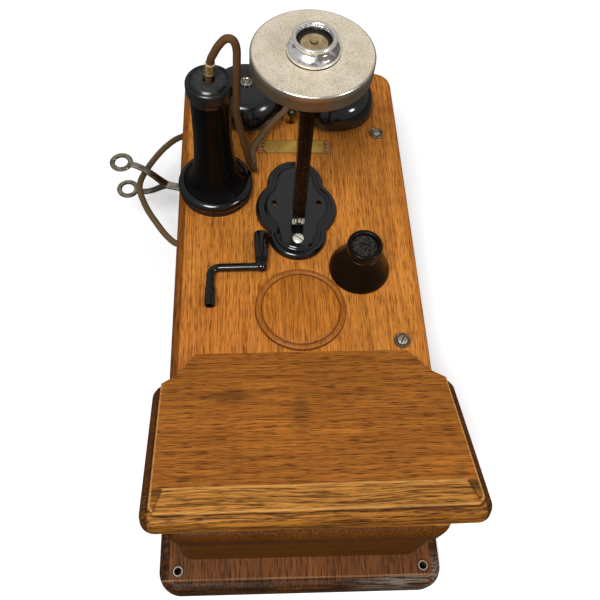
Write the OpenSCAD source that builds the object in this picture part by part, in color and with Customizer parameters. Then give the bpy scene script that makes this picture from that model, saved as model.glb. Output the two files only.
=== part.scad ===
// Oak magneto wall telephone, lying on its back with its front facing up.
// X runs to the right across the front, Y towards the top end, Z out of the front.
// The origin is the centre of the backboard's back, in the middle of the wall screws.

/* [Backboard] */
// Width of the backboard
board_w = 235; // [226:1:260]
// Height of the backboard
board_h = 508; // [500:1:540]
// Thickness of the backboard
board_t = 20; // [14:1:28]
// Corner radius of the backboard
board_r = 18; // [12:1:30]
// Width of the rounded edge of the backboard
board_edge = 8; // [4:0.5:9]
// Spacing of the wall screws across
hole_dx = 203; // [198:1:208]
// Spacing of the wall screws from bottom to top
hole_dy = 474; // [472:1:482]
// Diameter of the wall screw holes
hole_d = 6; // [4:0.5:7]
// Outer diameter of the eyelets
eyelet_d = 9.4; // [8.5:0.1:11]
// Thickness of the eyelets
eyelet_t = 1; // [0.6:0.1:2]

/* [Box] */
// Outer width of the box
box_w = 204; // [196:1:206]
// Outer height of the box
box_h = 456; // [446:1:456]
// Depth of the box walls
box_depth = 82; // [78:1:100]
// Thickness of the box walls
wall_t = 12; // [8:0.5:14]
// Outer corner radius of the box
box_r = 14; // [8:1:18]
// Side of the two blocks that take the door screws
block_w = 26; // [20:1:32]
// Depth of those blocks
block_depth = 30; // [20:1:36]

/* [Door] */
// Width of the door
door_w = 210; // [208:1:220]
// Height of the door
door_h = 460; // [450:1:480]
// Thickness of the door
door_t = 20; // [16:0.5:24]
// Corner radius of the door
door_r = 17; // [12:1:24]
// Radius of the door's rounded front edge
door_edge = 7; // [3:0.5:9]
// Step between the rounded edge and the door's face
door_quirk = 1; // [0.5:0.1:2]
// Gap between the box and the closed door
door_gap = 0.3; // [0.3:0.1:0.8]
// Distance of the door screws from the door's right edge
screw_inset = 22.6; // [20:0.1:24]
// Distance of the upper door screw from the door's top
screw_drop = 86; // [70:1:100]
// Distance of the lower door screw from the door's bottom
screw_rise = 152.2; // [150:0.2:170]
// Diameter of the door screws
screw_d = 4; // [3:0.5:5]
// Diameter of the cup washers
washer_d = 14; // [12:0.5:18]
// Height of the cup washers
washer_h = 2; // [1.4:0.1:3]

/* [Hinges] */
// Length of a hinge
hinge_len = 36; // [30:1:50]
// Distance of the hinges from the middle of the door
hinge_y = 150; // [135:1:165]
// Radius of the knuckle
knuckle_r = 2.4; // [2.1:0.1:2.6]
// Radius of the hinge pin
pin_r = 1; // [0.8:0.1:1.3]
// Thickness of the leaves
leaf_t = 1.2; // [0.8:0.1:1.6]
// Width of the leaves
leaf_w = 14; // [10:1:20]
// Running clearance of pins and shafts
fit = 0.05; // [0.02:0.01:0.1]

/* [Shelf] */
// Width of the writing shelf
shelf_w = 233; // [216:1:240]
// Length of the shelf's top along its slope
shelf_len = 148; // [130:1:165]
// Thickness of the shelf
shelf_t = 17; // [16:0.5:26]
// Slope of the shelf against the door
shelf_angle = 21; // [16:0.5:28]
// Distance of the shelf's back edge from the door's bottom
shelf_rise = 143; // [136:1:146]
// Place of the shelf across the door
shelf_x = 0.3; // [-2:0.1:2]
// Turn of the shelf on the door, which isn't quite square
shelf_turn = 0.7; // [-1:0.1:1]
// Width of the shelf's back edge
shelf_back_w = 170; // [140:1:190]
// Length of the cut-back corners beside the back edge
shelf_cut = 37; // [30:1:46]
// Radius of the shelf's front corners
shelf_corner_r = 11; // [6:0.5:14]
// Radius of the shelf's nosing
shelf_nose_r = 6.5; // [4:0.5:7]
// Step between the nosing and the shelf's top
shelf_quirk = 3; // [1:0.5:4]
// Width of the stopped chamfer on the front edge
chamfer_w = 17; // [6:0.5:20]
// Distance of the chamfer's stops from the shelf's sides
chamfer_stop = 14; // [10:1:30]

/* [Dial blank] */
// Outer diameter of the blank's ring
dial_d = 76; // [60:1:84]
// Diameter of the inner disc
dial_inner_d = 65; // [48:1:68]
// Height of the blank
dial_h = 3.5; // [2:0.1:5]
// Place of the blank across the door
dial_x = 0.8; // [-3:0.1:3]
// Height of the blank's centre above the shelf's back edge
dial_up = 38.7; // [38.6:0.1:44]

/* [Nameplate] */
// Width of the plate
label_w = 70; // [60:1:76]
// Height of the plate
label_h = 16; // [12:0.5:20]
// Thickness of the plate
label_t = 0.8; // [0.4:0.1:1.5]
// Place of the plate across the door
label_x = 2; // [-3:0.5:6]
// Distance of the plate above the arm base
label_up = 19.5; // [12:0.5:21]

/* [Arm base] */
// Place of the base plate across the door
base_x = 1; // [-4:0.5:6]
// Distance of the middle of the plate from the door's top
base_drop = 177; // [170:1:180]
// Width of the plate across its side lobes
base_w = 74; // [66:1:76]
// Height of the plate
base_h = 108; // [104:1:112]
// Thickness of the plate's foot
base_t = 3.5; // [2.5:0.1:5]
// Height of the raised rim above the foot
rim_h = 3; // [1.5:0.1:4]
// Width of the raised rim
rim_w = 6; // [4:0.5:8]
// Radius of the plate's round ends
end_r = 26; // [24:0.5:28]
// Radius of the plate's side lobes
lobe_r = 32.5; // [28:0.5:36]
// Spacing of the two empty screw holes
spare_dx = 40; // [34:0.5:46]
// Diameter of the empty screw holes
spare_d = 5.2; // [4:0.1:6]
// Distance of the arm's pivot from the plate's lower end
pivot_rise = 34.6; // [33:0.2:37]
// Height of the arm's pivot above the door
pivot_up = 12.4; // [12:0.2:15]
// Radius of the lug that carries the arm
lug_r = 5.6; // [5:0.2:6]
// Diameter of the pivot pin
pivot_d = 5; // [4:0.5:6]

/* [Transmitter] */
// Height of the faceplate above the door
face_up = 183; // [170:1:200]
// Diameter of the faceplate
face_d = 84.5; // [76:0.5:90]
// Height of the faceplate's rim
face_rim = 12.8; // [8:0.2:14]
// Thickness of the metal of the faceplate
face_t = 2; // [1.4:0.1:3]
// Outer diameter of the collar's lip
collar_d = 30; // [29:0.5:33]
// Diameter of the collar's foot
collar_foot_d = 36; // [33:0.5:40]
// Bore of the collar
collar_bore = 24; // [20:0.5:26]
// Height of the collar above the face
collar_h = 12.6; // [12:0.2:20]
// Depth of the diaphragm below the collar's lip
diaphragm_drop = 6; // [5:0.5:8]
// Depth of the cup behind the faceplate
cup_depth = 20; // [14:0.5:26]
// Lean of the arm towards the top end
arm_lean = 4.7; // [0:0.1:12]
// Width of the arm at its foot
arm_w = 10.6; // [9.6:0.2:12]
// Width of the arm at its top
arm_top_w = 10.5; // [9:0.5:13]
// Depth of the arm
arm_t = 11; // [9:0.5:12]
// Diameter of the pad under the cup
pad_d = 22; // [18:0.5:28]
// Diameter of the cup's back
cup_back_d = 34; // [30:0.5:40]

/* [Bells] */
// Diameter of a gong
gong_d = 76; // [70:0.5:77]
// Distance of each gong's post from the middle
gong_x = 43; // [41:0.5:46]
// Distance of the gongs from the door's top
gong_drop = 54; // [48:1:56]
// Height of a gong
gong_h = 24; // [20:0.5:30]
// Thickness of the gong's metal
gong_t = 1.8; // [1.2:0.1:2.4]
// Height of the gong's rim above the door
gong_up = 9; // [8:0.5:14]
// Diameter of a gong's post
post_d = 10; // [8:0.5:12]
// Diameter of the nut on a gong, across its corners
nut_d = 13; // [10:0.5:15]
// Diameter of the clapper ball
ball_d = 8; // [6:0.5:8]
// Distance of the clapper below the gong posts
clapper_drop = 18; // [16:0.5:20]
// Largest swing of the clapper to each side
clapper_swing = 6; // [4:0.5:6]
// Depth of the ringer behind the door
ringer_depth = 44; // [40:1:48]

/* [Hook] */
// Distance of the hook's pivot inside the box wall
hook_in = 40; // [34:1:46]
// Distance of the hook's pivot from the door's top
hook_drop = 133; // [128:1:140]
// Height of the hook's lever above the backboard
hook_up = 62; // [58:1:66]
// Slope of the raised hook
hook_angle = 14.6; // [12:0.2:18]
// Travel of the hook
hook_travel = 13; // [8:1:14]
// Length of the lever from its pivot to the fork
lever_len = 66; // [62:1:72]
// Length of the hook from its pivot to its rings
hook_len = 105; // [98:1:112]
// Gap between the prongs of the fork
fork_gap = 38; // [34:1:40]
// Height of the lever's bar
lever_h = 8; // [6:0.5:10]
// Thickness of the lever's bar
lever_t = 3; // [2.4:0.1:4]
// Outer diameter of the rings
ring_d = 22; // [18:0.5:24]
// Inner diameter of the rings
ring_bore = 12.5; // [10:0.5:14]
// Diameter of the hook's pivot pin
hook_pin_d = 4; // [3:0.5:5]

/* [Receiver] */
// Place of the receiver across the door
receiver_x = -71; // [-71:0.5:-69]
// Distance of the receiver from the door's top
receiver_drop = 153; // [150:1:156]
// Height of the receiver
receiver_h = 130.5; // [120:0.5:140]
// Diameter of the ear cap
ear_cap_d = 67; // [62:0.5:68]
// Height of the ear cap
ear_cap_h = 15; // [12:0.5:18]
// Diameter of the tail cap
tail_cap_d = 37; // [34:0.5:38]
// Height of the tail cap
tail_cap_h = 17; // [13:0.5:20]
// Diameter of the shell at its waist
waist_d = 31; // [28:0.5:33]
// Height of the flare above the ear cap
flare_h = 34; // [28:1:40]
// Wall of the shell
shell_t = 3; // [2:0.1:4]
// Gap under the loose pieces that stand on the door
rest_gap = 0.3; // [0.3:0.1:0.6]

/* [Mouthpiece] */
// Place of the mouthpiece across the door
mouth_x = 52.5; // [50:0.5:58]
// Distance of the mouthpiece from the door's top
mouth_drop = 239.2; // [236:0.2:242]
// Diameter of its mouth
mouth_d = 51.5; // [46:0.5:56]
// Diameter of its narrow end
mouth_top_d = 29; // [26:0.5:32]
// Height of the mouthpiece
mouth_h = 38; // [34:0.5:44]
// Wall of the mouthpiece
mouth_t = 3; // [2:0.1:4]

/* [Crank] */
// Place of the crank's shank across the door
crank_x = -74.3; // [-80:0.1:-72]
// Distance of the crank's arm from the door's top
crank_drop = 241; // [238:1:244]
// Length of the shank
shank_len = 36; // [30:1:40]
// Diameter of the shank
shank_d = 9; // [8:0.5:10]
// Length of the arm between shank and grip
crank_throw = 43; // [38:0.5:46]
// Diameter of the arm
crank_d = 7.5; // [5:0.5:8]
// Length of the grip
grip_len = 27; // [26:1:34]
// Diameter of the grip
grip_d = 13; // [11:0.5:13.5]
// Diameter of the spindle inside the grip
spindle_d = 4; // [3:0.5:5]

/* [Magneto] */
// Height of the crank shaft above the backboard
drive_up = 46; // [44:1:50]
// Distance of the crank shaft below the door's top
drive_drop = 195; // [190:1:200]
// Diameter of the crank shaft
drive_d = 8; // [6:0.5:9]
// Length of the threaded shaft end outside the box
stub_len = 10; // [8:1:12]
// Diameter of the threaded shaft end
stub_d = 6; // [5:0.5:6]
// Radius of the large gear
gear_r = 28; // [24:0.5:29]
// Radius of the pinion
pinion_r = 7; // [6:0.5:8]
// Teeth of the large gear
gear_teeth = 36; // [24:1:48]
// Gap between gear and pinion
mesh_gap = 0.5; // [0.4:0.1:1]
// Radius of the armature
armature_r = 13.5; // [11:0.5:14]
// Thickness of the horseshoe magnets
magnet_t = 8; // [6:0.5:9]
// Number of horseshoe magnets
magnet_count = 3; // [2:1:4]

/* [Inner fittings] */
// Distance of the terminal block from the bottom wall
terminal_rise = 20; // [16:1:24]
// Spacing of the terminals, which is the block's width too
terminal_pitch = 22; // [18:1:24]
// Number of terminals
terminal_count = 6; // [4:1:7]
// Thickness of the terminal block
terminal_t = 12; // [8:1:16]
// Height of the condenser can above the terminal block
can_rise = 24; // [20:1:28]
// Width of the condenser can
can_w = 70; // [60:1:72]
// Height of the condenser can
can_h = 46; // [40:1:50]
// Depth of the condenser can
can_depth = 26; // [20:1:30]
// Height of the induction coil above the condenser can
coil_rise = 34; // [28:1:36]
// Length of the induction coil
coil_len = 78; // [70:1:84]
// Diameter of its winding
coil_d = 26; // [20:1:30]
// Side of its square cheeks
cheek_w = 34; // [30:1:36]
// Thickness of its cheeks
cheek_t = 6; // [4:0.5:8]
// Distance of these fittings from the left wall
fitting_gap = 14; // [10:1:18]
// Distance of the contact springs from the hook's pivot
spring_x = 34; // [30:1:38]
// Spacing of the contact springs
spring_pitch = 4; // [3:0.5:5]
// Length of a contact spring
spring_len = 30; // [24:1:32]
// Width of a contact spring
spring_w = 7; // [5:0.5:8]
// Thickness of a contact spring
spring_t = 0.8; // [0.5:0.1:1]

/* [Cord] */
// Diameter of the receiver cord
cord_d = 6; // [5:0.5:6]

/* [Hidden] */
$fn = 64;
tau = 360;
eps = 0.01;
overlap = 1;
door_z = board_t + box_depth;
face_z = door_z + door_t;
wall_h = box_depth - door_gap;
door_top = door_h / 2;
door_left = -door_w / 2;
axis_x = -(box_w / 2 + door_w / 2) / 2;
screw_x = door_w / 2 - screw_inset;
screw_ys = [door_top - screw_drop, screw_rise - door_top];
screw_below = 8;
cup_floor = 0.4 * washer_h;
screw_clear = 0.9;
knuckle_len = hinge_len / 3;
pocket_r = knuckle_r + 0.4;
shelf_y = shelf_rise - door_top;
dial_y = shelf_y + dial_up;
base_y = door_top - base_drop;
base_foot = base_y - base_h / 2;
pivot_y = base_foot + pivot_rise;
pivot_z = face_z + pivot_up;
rim_inset = 1.2;
rim_step = 0.5;
plate_top = base_t + rim_h - rim_step;
lug_t = 4;
lug_gap = 0.4;
face_reach = face_up - pivot_up;
face_y = pivot_y + face_reach * tan(arm_lean);
cup_lap = 4;
cup_back = cup_lap - face_rim - cup_depth;
gong_y = door_top - gong_drop;
gong_hole_d = 6;
clapper_y = gong_y - clapper_drop;
clapper_z = door_z - 7;
ball_z = face_z + gong_up + ball_d / 2;
rod_d = 3;
bar_t = 3;
ringer_z = door_z - ringer_depth;
yoke_t = 4;
ringer_coil_x = 17;
ringer_cheek_r = 11.5;
ringer_half = ringer_coil_x + ringer_cheek_r;
slot_h = 5;
slot_clear = 1;
slot_half = (face_z - clapper_z) * tan(clapper_swing) + rod_d / 2 + slot_clear - slot_h / 2;
hook_x = hook_in - box_w / 2;
hook_y = door_top - hook_drop;
hook_z = board_t + hook_up;
hub_r = 6;
hub_h = 11;
receiver_y = door_top - receiver_drop;
cap_wall = 6;
cap_depth = 6;
disc_t = 0.4;
sound_r = 6;
mouth_y = door_top - mouth_drop;
crank_y = door_top - crank_drop;
grip_lift = rest_gap + grip_d / 2;
grip_start = 7;
drive_y = door_top - drive_drop;
drive_z = board_t + drive_up;
center_dist = gear_r + pinion_r + mesh_gap;
armature_y = drive_y - center_dist * cos(45);
armature_z = drive_z - center_dist * sin(45);
flange_t = 2;
shaft_end = box_w / 2 + flange_t + overlap;
gear_t = 6;
gear_x = 12;
axle_out = 3;
plate_t = 3;
frame_x = 22;
frame_len = 57;
frame_foot = 4;
bay = frame_len - 2 * plate_t;
magnet_r = armature_r + 2.5;
axle_d = 6;
tooth = 1.6;
bore_wall = 4;
fitting_x = wall_t - box_w / 2 + fitting_gap;
terminal_y = wall_t - box_h / 2 + terminal_rise;
can_y = terminal_y + terminal_pitch + can_rise;
coil_y = can_y + can_h + coil_rise;
cord_r = cord_d / 2;
cord_sides = 10;
ferrule_t = 0.9;
grommet_y = 45;
grommet_z = 80;
grommet_out = 3;
grommet_r = cord_r + 2;

// Routes of the cord. The drop hangs from the receiver, the run lies on the door
// and the loop goes round the corner of the case, through the hook and into its side.
drop_path = [
    [-71, 77, 248.5], [-71, 77, 256], [-69, 77, 270], [-66.5, 77, 276], [-63.5, 77, 282], [-59, 77, 288],
    [-55.5, 76.5, 290], [-52, 75.5, 289], [-50, 74, 283], [-50, 72, 272], [-50.5, 70, 250],
    [-50.5, 70, 237], [-51, 70, 226], [-47.5, 72, 200], [-43, 76, 173], [-40.5, 82, 153],
    [-37.9, 86.8, 141], [-36.4, 91.5, 131.8], [-36.7, 95.4, 127.3], [-37, 98.8, 125.7], [-37, 102, 125.5]
];
run_path = [
    [-37, 102.7, 125.5], [-37.2, 106.2, 125.5], [-37.7, 110.5, 125.6], [-38, 115.5, 126], [-36.5, 121.5, 128],
    [-30.5, 130.5, 131],
    [-22, 138.5, 137], [-14, 146, 141], [-6, 153.5, 144], [-1, 166, 147], [0, 182, 147], [0, 198, 144],
    [0, 213, 138], [0, 226, 130], [0, 236, 123], [0, 241, 116], [0, 241, 110]
];
loop_path = [
    [0, 241, 109.6], [0, 241, 102], [-3, 243, 88], [-10, 243, 72], [-20, 243, 56], [-33, 243, 40],
    [-48, 243, 29], [-64, 243, 24], [-82, 242, 24], [-96, 238, 25], [-104, 230, 30], [-107, 219, 39],
    [-107, 207, 51], [-107, 195, 64], [-109, 183, 74], [-117, 173, 79], [-127, 161, 80], [-136, 147, 80],
    [-143, 133, 80], [-148, 119, 80], [-148, 107, 80], [-144, 95, 80], [-138, 82, 80], [-130, 69, 80],
    [-122, 57, 80], [-115, 49, 80], [-110, 45, 80], [-105, 45, 80]
];

// Rectangle with round corners
module round_rect(w, h, r) {
    square([w - 2 * r, h], center = true);
    square([w, h - 2 * r], center = true);
    for (sx = [-1, 1], sy = [-1, 1])
        translate([sx * (w / 2 - r), sy * (h / 2 - r)]) circle(r);
}

// Section of a rounded board edge, outwards from the flat of the board
module edge_section(t, e, q) {
    translate([-overlap, 0]) square([overlap, t - q]);
    square([e, t - q - e]);
    translate([0, t - q - e]) intersection() {
        circle(e);
        square(e);
    }
}

// Board with round corners and a rounded front edge that stops at a small step
module edged_board(w, h, t, r, e, q) {
    linear_extrude(t) round_rect(w - 2 * e, h - 2 * e, r - e);
    for (k = [0:3]) rotate(90 * k) {
        across = k % 2 == 0 ? w : h;
        along = k % 2 == 0 ? h : w;
        translate([across / 2 - e, along / 2 - r, 0]) rotate([90, 0, 0])
            linear_extrude(along - 2 * r) edge_section(t, e, q);
        translate([across / 2 - r, along / 2 - r, 0])
            rotate_extrude(angle = 90) translate([r - e, 0]) edge_section(t, e, q);
    }
}

// Tube swept along a route, with one ring of corners at each of its points
function unit(v) = v / norm(v);
function tangents(p) = [for (i = [0:len(p) - 1])
    unit(p[min(i + 1, len(p) - 1)] - p[max(i - 1, 0)])];
function carried(t, n, i = 1) = i == len(t) ? n :
    carried(t, concat(n, [unit(n[i - 1] - (n[i - 1] * t[i]) * t[i])]), i + 1);
function first_normal(t) = unit(cross(t, abs(t[2]) > 0.9 ? [1, 0, 0] : [0, 0, 1]));

module tube(path, r, sides) {
    t = tangents(path);
    n = carried(t, [first_normal(t[0])]);
    count = len(path);
    points = [for (i = [0:count - 1], k = [0:sides - 1])
        path[i] + r * (cos(k * tau / sides) * n[i] + sin(k * tau / sides) * cross(t[i], n[i]))];
    walls = [for (i = [0:count - 2], k = [0:sides - 1], half = [0, 1])
        let (a = i * sides + k, b = i * sides + (k + 1) % sides)
        half == 0 ? [a, b + sides, b] : [a, a + sides, b + sides]];
    near_end = [for (k = [0:sides - 1]) k];
    far_end = [for (k = [0:sides - 1]) (count - 1) * sides + sides - 1 - k];
    polyhedron(points, concat(walls, [near_end, far_end]));
}

// Backboard and its four eyelets
function wall_hole(i) = [(i % 2 == 0 ? -1 : 1) * hole_dx / 2, (i < 2 ? -1 : 1) * hole_dy / 2];

module backboard() {
    color("saddlebrown") difference() {
        edged_board(board_w, board_h, board_t, board_r, board_edge, 0);
        for (i = [0:3]) translate([wall_hole(i)[0], wall_hole(i)[1], -overlap])
            cylinder(d = hole_d, h = board_t + 2 * overlap);
    }
}

module eyelet(i) {
    color("dimgray") translate([wall_hole(i)[0], wall_hole(i)[1], board_t]) difference() {
        cylinder(d = eyelet_d, h = eyelet_t);
        translate([0, 0, -overlap]) cylinder(d = hole_d, h = eyelet_t + 2 * overlap);
    }
}

// Box walls, mitred at the corners
module wall(side) {
    w = box_w / 2;
    h = box_h / 2;
    x_side = abs(side[0]) > 0;
    a = x_side ? w : h;
    b = x_side ? h : w;
    turn = x_side ? (side[0] > 0 ? 0 : 180) : (side[1] > 0 ? 90 : 270);
    translate([0, 0, board_t]) linear_extrude(wall_h) intersection() {
        difference() {
            round_rect(box_w, box_h, box_r);
            square([box_w - 2 * wall_t, box_h - 2 * wall_t], center = true);
        }
        rotate(turn) polygon([
            [a - wall_t, b - wall_t], [a - wall_t, wall_t - b],
            [a + overlap, -b - overlap], [a + overlap, b + overlap]
        ]);
    }
}

module knuckle(r, len) {
    rotate([90, 0, 0]) cylinder(r = r, h = len, center = true);
}

module hinge_place(side) {
    translate([axis_x, side * hinge_y, door_z]) children();
}

module left_wall() {
    reach = box_w / 2 - wall_t / 2 + hook_x;
    rise = reach * tan(hook_angle);
    drop = reach * (tan(hook_angle) - tan(hook_angle - hook_travel));
    half_bar = lever_h / 2 / cos(hook_angle) + wall_t / 2 * tan(hook_angle) + slot_clear;
    color("peru") difference() {
        wall([-1, 0]);
        for (side = [-1, 1]) hinge_place(side) {
            knuckle(pocket_r, hinge_len + 2 * overlap);
            translate([-box_w, -hinge_len / 2 - overlap, -pocket_r])
                cube([box_w, hinge_len + 2 * overlap, 2 * pocket_r]);
        }
        translate([-box_w / 2 - overlap, hook_y + rise - drop - half_bar, hook_z - lever_t / 2 - slot_clear])
            cube([wall_t + 2 * overlap, drop + 2 * half_bar, lever_t + 2 * slot_clear]);
        along_x(-box_w / 2 - overlap, grommet_y, grommet_z)
            cylinder(r = grommet_r, h = wall_t + 2 * overlap);
    }
}

module right_wall() {
    block_x = screw_x - block_w / 2;
    color("peru") difference() {
        union() {
            wall([1, 0]);
            for (y = screw_ys) translate([block_x, y - block_w / 2, door_z - door_gap - block_depth])
                cube([box_w / 2 - wall_t + overlap - block_x, block_w, block_depth]);
        }
        for (y = screw_ys) translate([screw_x, y, door_z - 2 * screw_below])
            cylinder(d = screw_d + 2 * screw_clear, h = 2 * screw_below);
        along_x(box_w / 2 - wall_t - overlap, drive_y, drive_z)
            cylinder(d = drive_d + 2 * bore_wall, h = wall_t + 2 * overlap);
    }
}

module top_wall() {
    color("peru") wall([0, 1]);
}

module bottom_wall() {
    color("peru") wall([0, -1]);
}

// Hinges between the left wall and the door
module case_leaf(side) {
    part_len = knuckle_len - 2 * door_gap;
    leaf_x = -box_w / 2 - leaf_t - axis_x;
    bend_x = min(0, leaf_x);
    bend_w = max(0, leaf_x + leaf_t) - bend_x;
    leaf_low = knuckle_r + leaf_w;
    color("goldenrod") hinge_place(side) {
        for (end = [-1, 1]) translate([0, end * knuckle_len, 0]) {
            knuckle(knuckle_r, part_len);
            translate([bend_x, -part_len / 2, -knuckle_r]) cube([bend_w, part_len, knuckle_r - door_gap]);
            translate([leaf_x, -part_len / 2, -leaf_low]) cube([leaf_t, part_len, leaf_low - door_gap]);
        }
        translate([leaf_x, -hinge_len / 2 + door_gap, -leaf_low])
            cube([leaf_t, hinge_len - 2 * door_gap, leaf_w - pocket_r]);
        knuckle(pin_r, hinge_len - 2 * door_gap);
    }
}

module door_leaf(side) {
    color("goldenrod") hinge_place(side) difference() {
        union() {
            knuckle(knuckle_r, knuckle_len - 2 * door_gap);
            translate([0, -knuckle_len / 2 + door_gap, 0])
                cube([pocket_r + leaf_w, knuckle_len - 2 * door_gap, leaf_t]);
            translate([pocket_r, -hinge_len / 2, 0]) cube([leaf_w, hinge_len, leaf_t]);
        }
        knuckle(pin_r + fit, hinge_len);
    }
}

// Door with its moulded edge
module door_panel() {
    color("chocolate") difference() {
        translate([0, 0, door_z]) edged_board(door_w, door_h, door_t, door_r, door_edge, door_quirk);
        for (side = [-1, 1]) hinge_place(side) {
            knuckle(pocket_r, hinge_len + 2 * overlap);
            translate([-door_w, -hinge_len / 2 - overlap, -overlap])
                cube([door_w, hinge_len + 2 * overlap, overlap + pocket_r]);
            translate([0, -hinge_len / 2, -overlap]) cube([pocket_r + leaf_w, hinge_len, overlap + leaf_t]);
        }
        for (y = screw_ys) translate([screw_x, y, door_z - overlap])
            cylinder(d = screw_d + 2 * fit, h = door_t + 2 * overlap);
        translate([0, clapper_y, door_z - overlap]) linear_extrude(door_t + 2 * overlap) {
            square([2 * slot_half, slot_h], center = true);
            for (s = [-1, 1]) translate([s * slot_half, 0]) circle(d = slot_h);
        }
    }
}

module cup_washer(i) {
    bore = screw_d / 2 + fit;
    rim = washer_d / 2;
    color("dimgray") translate([screw_x, screw_ys[i], face_z]) rotate_extrude() polygon([
        [bore, 0], [rim, 0], [rim - washer_h / 2, washer_h * 0.8],
        [rim - washer_h, washer_h], [bore, cup_floor]
    ]);
}

module slotted_head(d, h) {
    difference() {
        intersection() {
            cylinder(d = d, h = h);
            translate([0, 0, h - d]) sphere(d);
        }
        translate([-d, -d / 14, h * 0.55]) cube([2 * d, d / 7, h]);
    }
}

module door_screw(i) {
    bowl = (washer_d / 2 - washer_h - screw_d / 2) / (washer_h - cup_floor);
    color("silver") translate([screw_x, screw_ys[i], 0]) {
        translate([0, 0, face_z + cup_floor]) rotate(35 + 70 * i) intersection() {
            slotted_head(washer_d - 3 * washer_h, washer_h);
            cylinder(r1 = screw_d / 2, r2 = screw_d / 2 + bowl * washer_h, h = washer_h);
        }
        translate([0, 0, door_z - screw_below])
            cylinder(d = screw_d, h = door_t + screw_below + cup_floor + eps);
    }
}

// Writing shelf, sloping up from the door towards the bottom end
module shelf_outline() {
    half = shelf_w / 2;
    back = shelf_back_w / 2;
    run_out = half - back;
    corner = [half - shelf_corner_r, shelf_len - shelf_corner_r];
    right = concat([
        [back, 0], [back + run_out * 0.42, shelf_cut * 0.6], [back + run_out * 0.86, shelf_cut * 0.88],
        [half, shelf_cut]
    ], [for (a = [0:15:90]) corner + shelf_corner_r * [cos(a), sin(a)]]);
    polygon(concat(right, [for (i = [len(right) - 1:-1:0]) [-right[i][0], right[i][1]]]));
}

module nosed_strip(len) {
    r = shelf_nose_r;
    under = r / 2;
    shoulder = shelf_t - shelf_quirk - r;
    translate([-len, 0]) square([len - r, shelf_t]);
    translate([-len, 0]) square([len - under, shoulder]);
    translate([-len, under]) square([len, shoulder - under]);
    translate([-under, under]) circle(under);
    translate([-r, shoulder]) circle(r);
}

module shelf_slope() {
    translate([shelf_x, shelf_y, face_z]) rotate(shelf_turn) rotate([180 - shelf_angle, 0, 0])
        mirror([0, 0, 1]) children();
}

module shelf() {
    back_reach = shelf_t / tan(shelf_angle);
    front = shelf_len - shelf_nose_r;
    stop_back = shelf_w / 2 - chamfer_stop;
    stop_front = stop_back + chamfer_stop / 3;
    color("sienna") difference() {
        shelf_slope() difference() {
            intersection() {
                translate([0, 0, -shelf_t]) linear_extrude(shelf_t) shelf_outline();
                translate([-shelf_w, shelf_len, -shelf_t]) rotate([90, 0, 90])
                    linear_extrude(2 * shelf_w) nosed_strip(shelf_len + back_reach);
                translate([0, 0, -shelf_t]) rotate([90, 0, 0]) linear_extrude(4 * shelf_len, center = true)
                    for (s = [0, 1]) mirror([s, 0]) translate([shelf_w / 2, 0])
                        nosed_strip(shelf_w / 2 + overlap);
            }
            intersection() {
                translate([-shelf_w / 2, 0, 0]) rotate([90, 0, 90]) linear_extrude(shelf_w) polygon([
                    [front - chamfer_w, 0], [front, -shelf_quirk],
                    [front, shelf_t], [front - chamfer_w, shelf_t]
                ]);
                linear_extrude(2 * shelf_t, center = true) polygon([
                    [-stop_back, front - chamfer_w], [-stop_front, front], [stop_front, front],
                    [stop_back, front - chamfer_w]
                ]);
            }
        }
        translate([-shelf_w, shelf_y - 2 * shelf_len, face_z - 2 * shelf_t])
            cube([2 * shelf_w, 3 * shelf_len, 2 * shelf_t]);
    }
}

// Turned oak blank in place of a dial
module dial_blank() {
    ring = (dial_d - dial_inner_d) / 2;
    groove = 1.5;
    sunk = 0.5;
    color("peru") translate([dial_x, dial_y, face_z]) rotate_extrude() {
        square([dial_inner_d / 2 + overlap, dial_h - groove]);
        square([dial_inner_d / 2 - groove, dial_h - sunk]);
        intersection() {
            translate([dial_inner_d / 2 + ring / 2, 0]) circle(ring / 2);
            translate([dial_inner_d / 2, 0]) square([ring, dial_h]);
        }
    }
}

module nameplate() {
    corner = 3;
    color("goldenrod") translate([label_x, base_y + base_h / 2 + label_up, face_z])
        linear_extrude(label_t) round_rect(label_w, label_h, corner);
}

// Lobed base plate of the transmitter arm
module base_outline(inset) {
    fillet = 10;
    offset(r = -inset - fillet, $fn = 48) offset(delta = fillet) {
        for (s = [-1, 1]) translate([0, s * (base_h / 2 - end_r)]) circle(end_r, $fn = 48);
        for (s = [-1, 1]) translate([s * (base_w / 2 - lobe_r), 0]) circle(lobe_r, $fn = 48);
    }
}

module arm_base() {
    groove = 3.5;
    spare_up = 3.5;
    color("black") translate([base_x, base_y, face_z]) difference() {
        union() {
            linear_extrude(base_t) base_outline(0);
            linear_extrude(base_t + rim_h) difference() {
                base_outline(rim_inset);
                base_outline(rim_w);
            }
            linear_extrude(plate_top) base_outline(rim_w + groove);
            translate([0, pivot_y - base_y, 0]) {
                translate([0, 0, pivot_up]) rotate([0, 90, 0]) cylinder(r = lug_r, h = lug_t, center = true);
                translate([-lug_t / 2, -lug_r, base_t]) cube([lug_t, 2 * lug_r, pivot_up - base_t]);
            }
        }
        for (s = [-1, 1]) translate([s * spare_dx / 2, spare_up, -overlap])
            cylinder(d = spare_d, h = base_t + rim_h + 2 * overlap);
        translate([0, pivot_y - base_y, pivot_up]) rotate([0, 90, 0])
            cylinder(d = pivot_d + 2 * fit, h = 2 * base_w, center = true);
    }
}

module base_screw() {
    head_d = 9.6;
    head_h = 2.4;
    rise = 18.8;
    color("silver") translate([base_x, base_foot + rise, face_z + plate_top]) rotate(130)
        slotted_head(head_d, head_h);
}

module arm_pin() {
    color("gray") translate([base_x, pivot_y, pivot_z]) rotate([0, 90, 0])
        cylinder(d = pivot_d, h = arm_w, center = true);
}

// Tilting arm with the transmitter
module arm_frame() {
    translate([base_x, pivot_y, pivot_z]) children();
}

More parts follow.
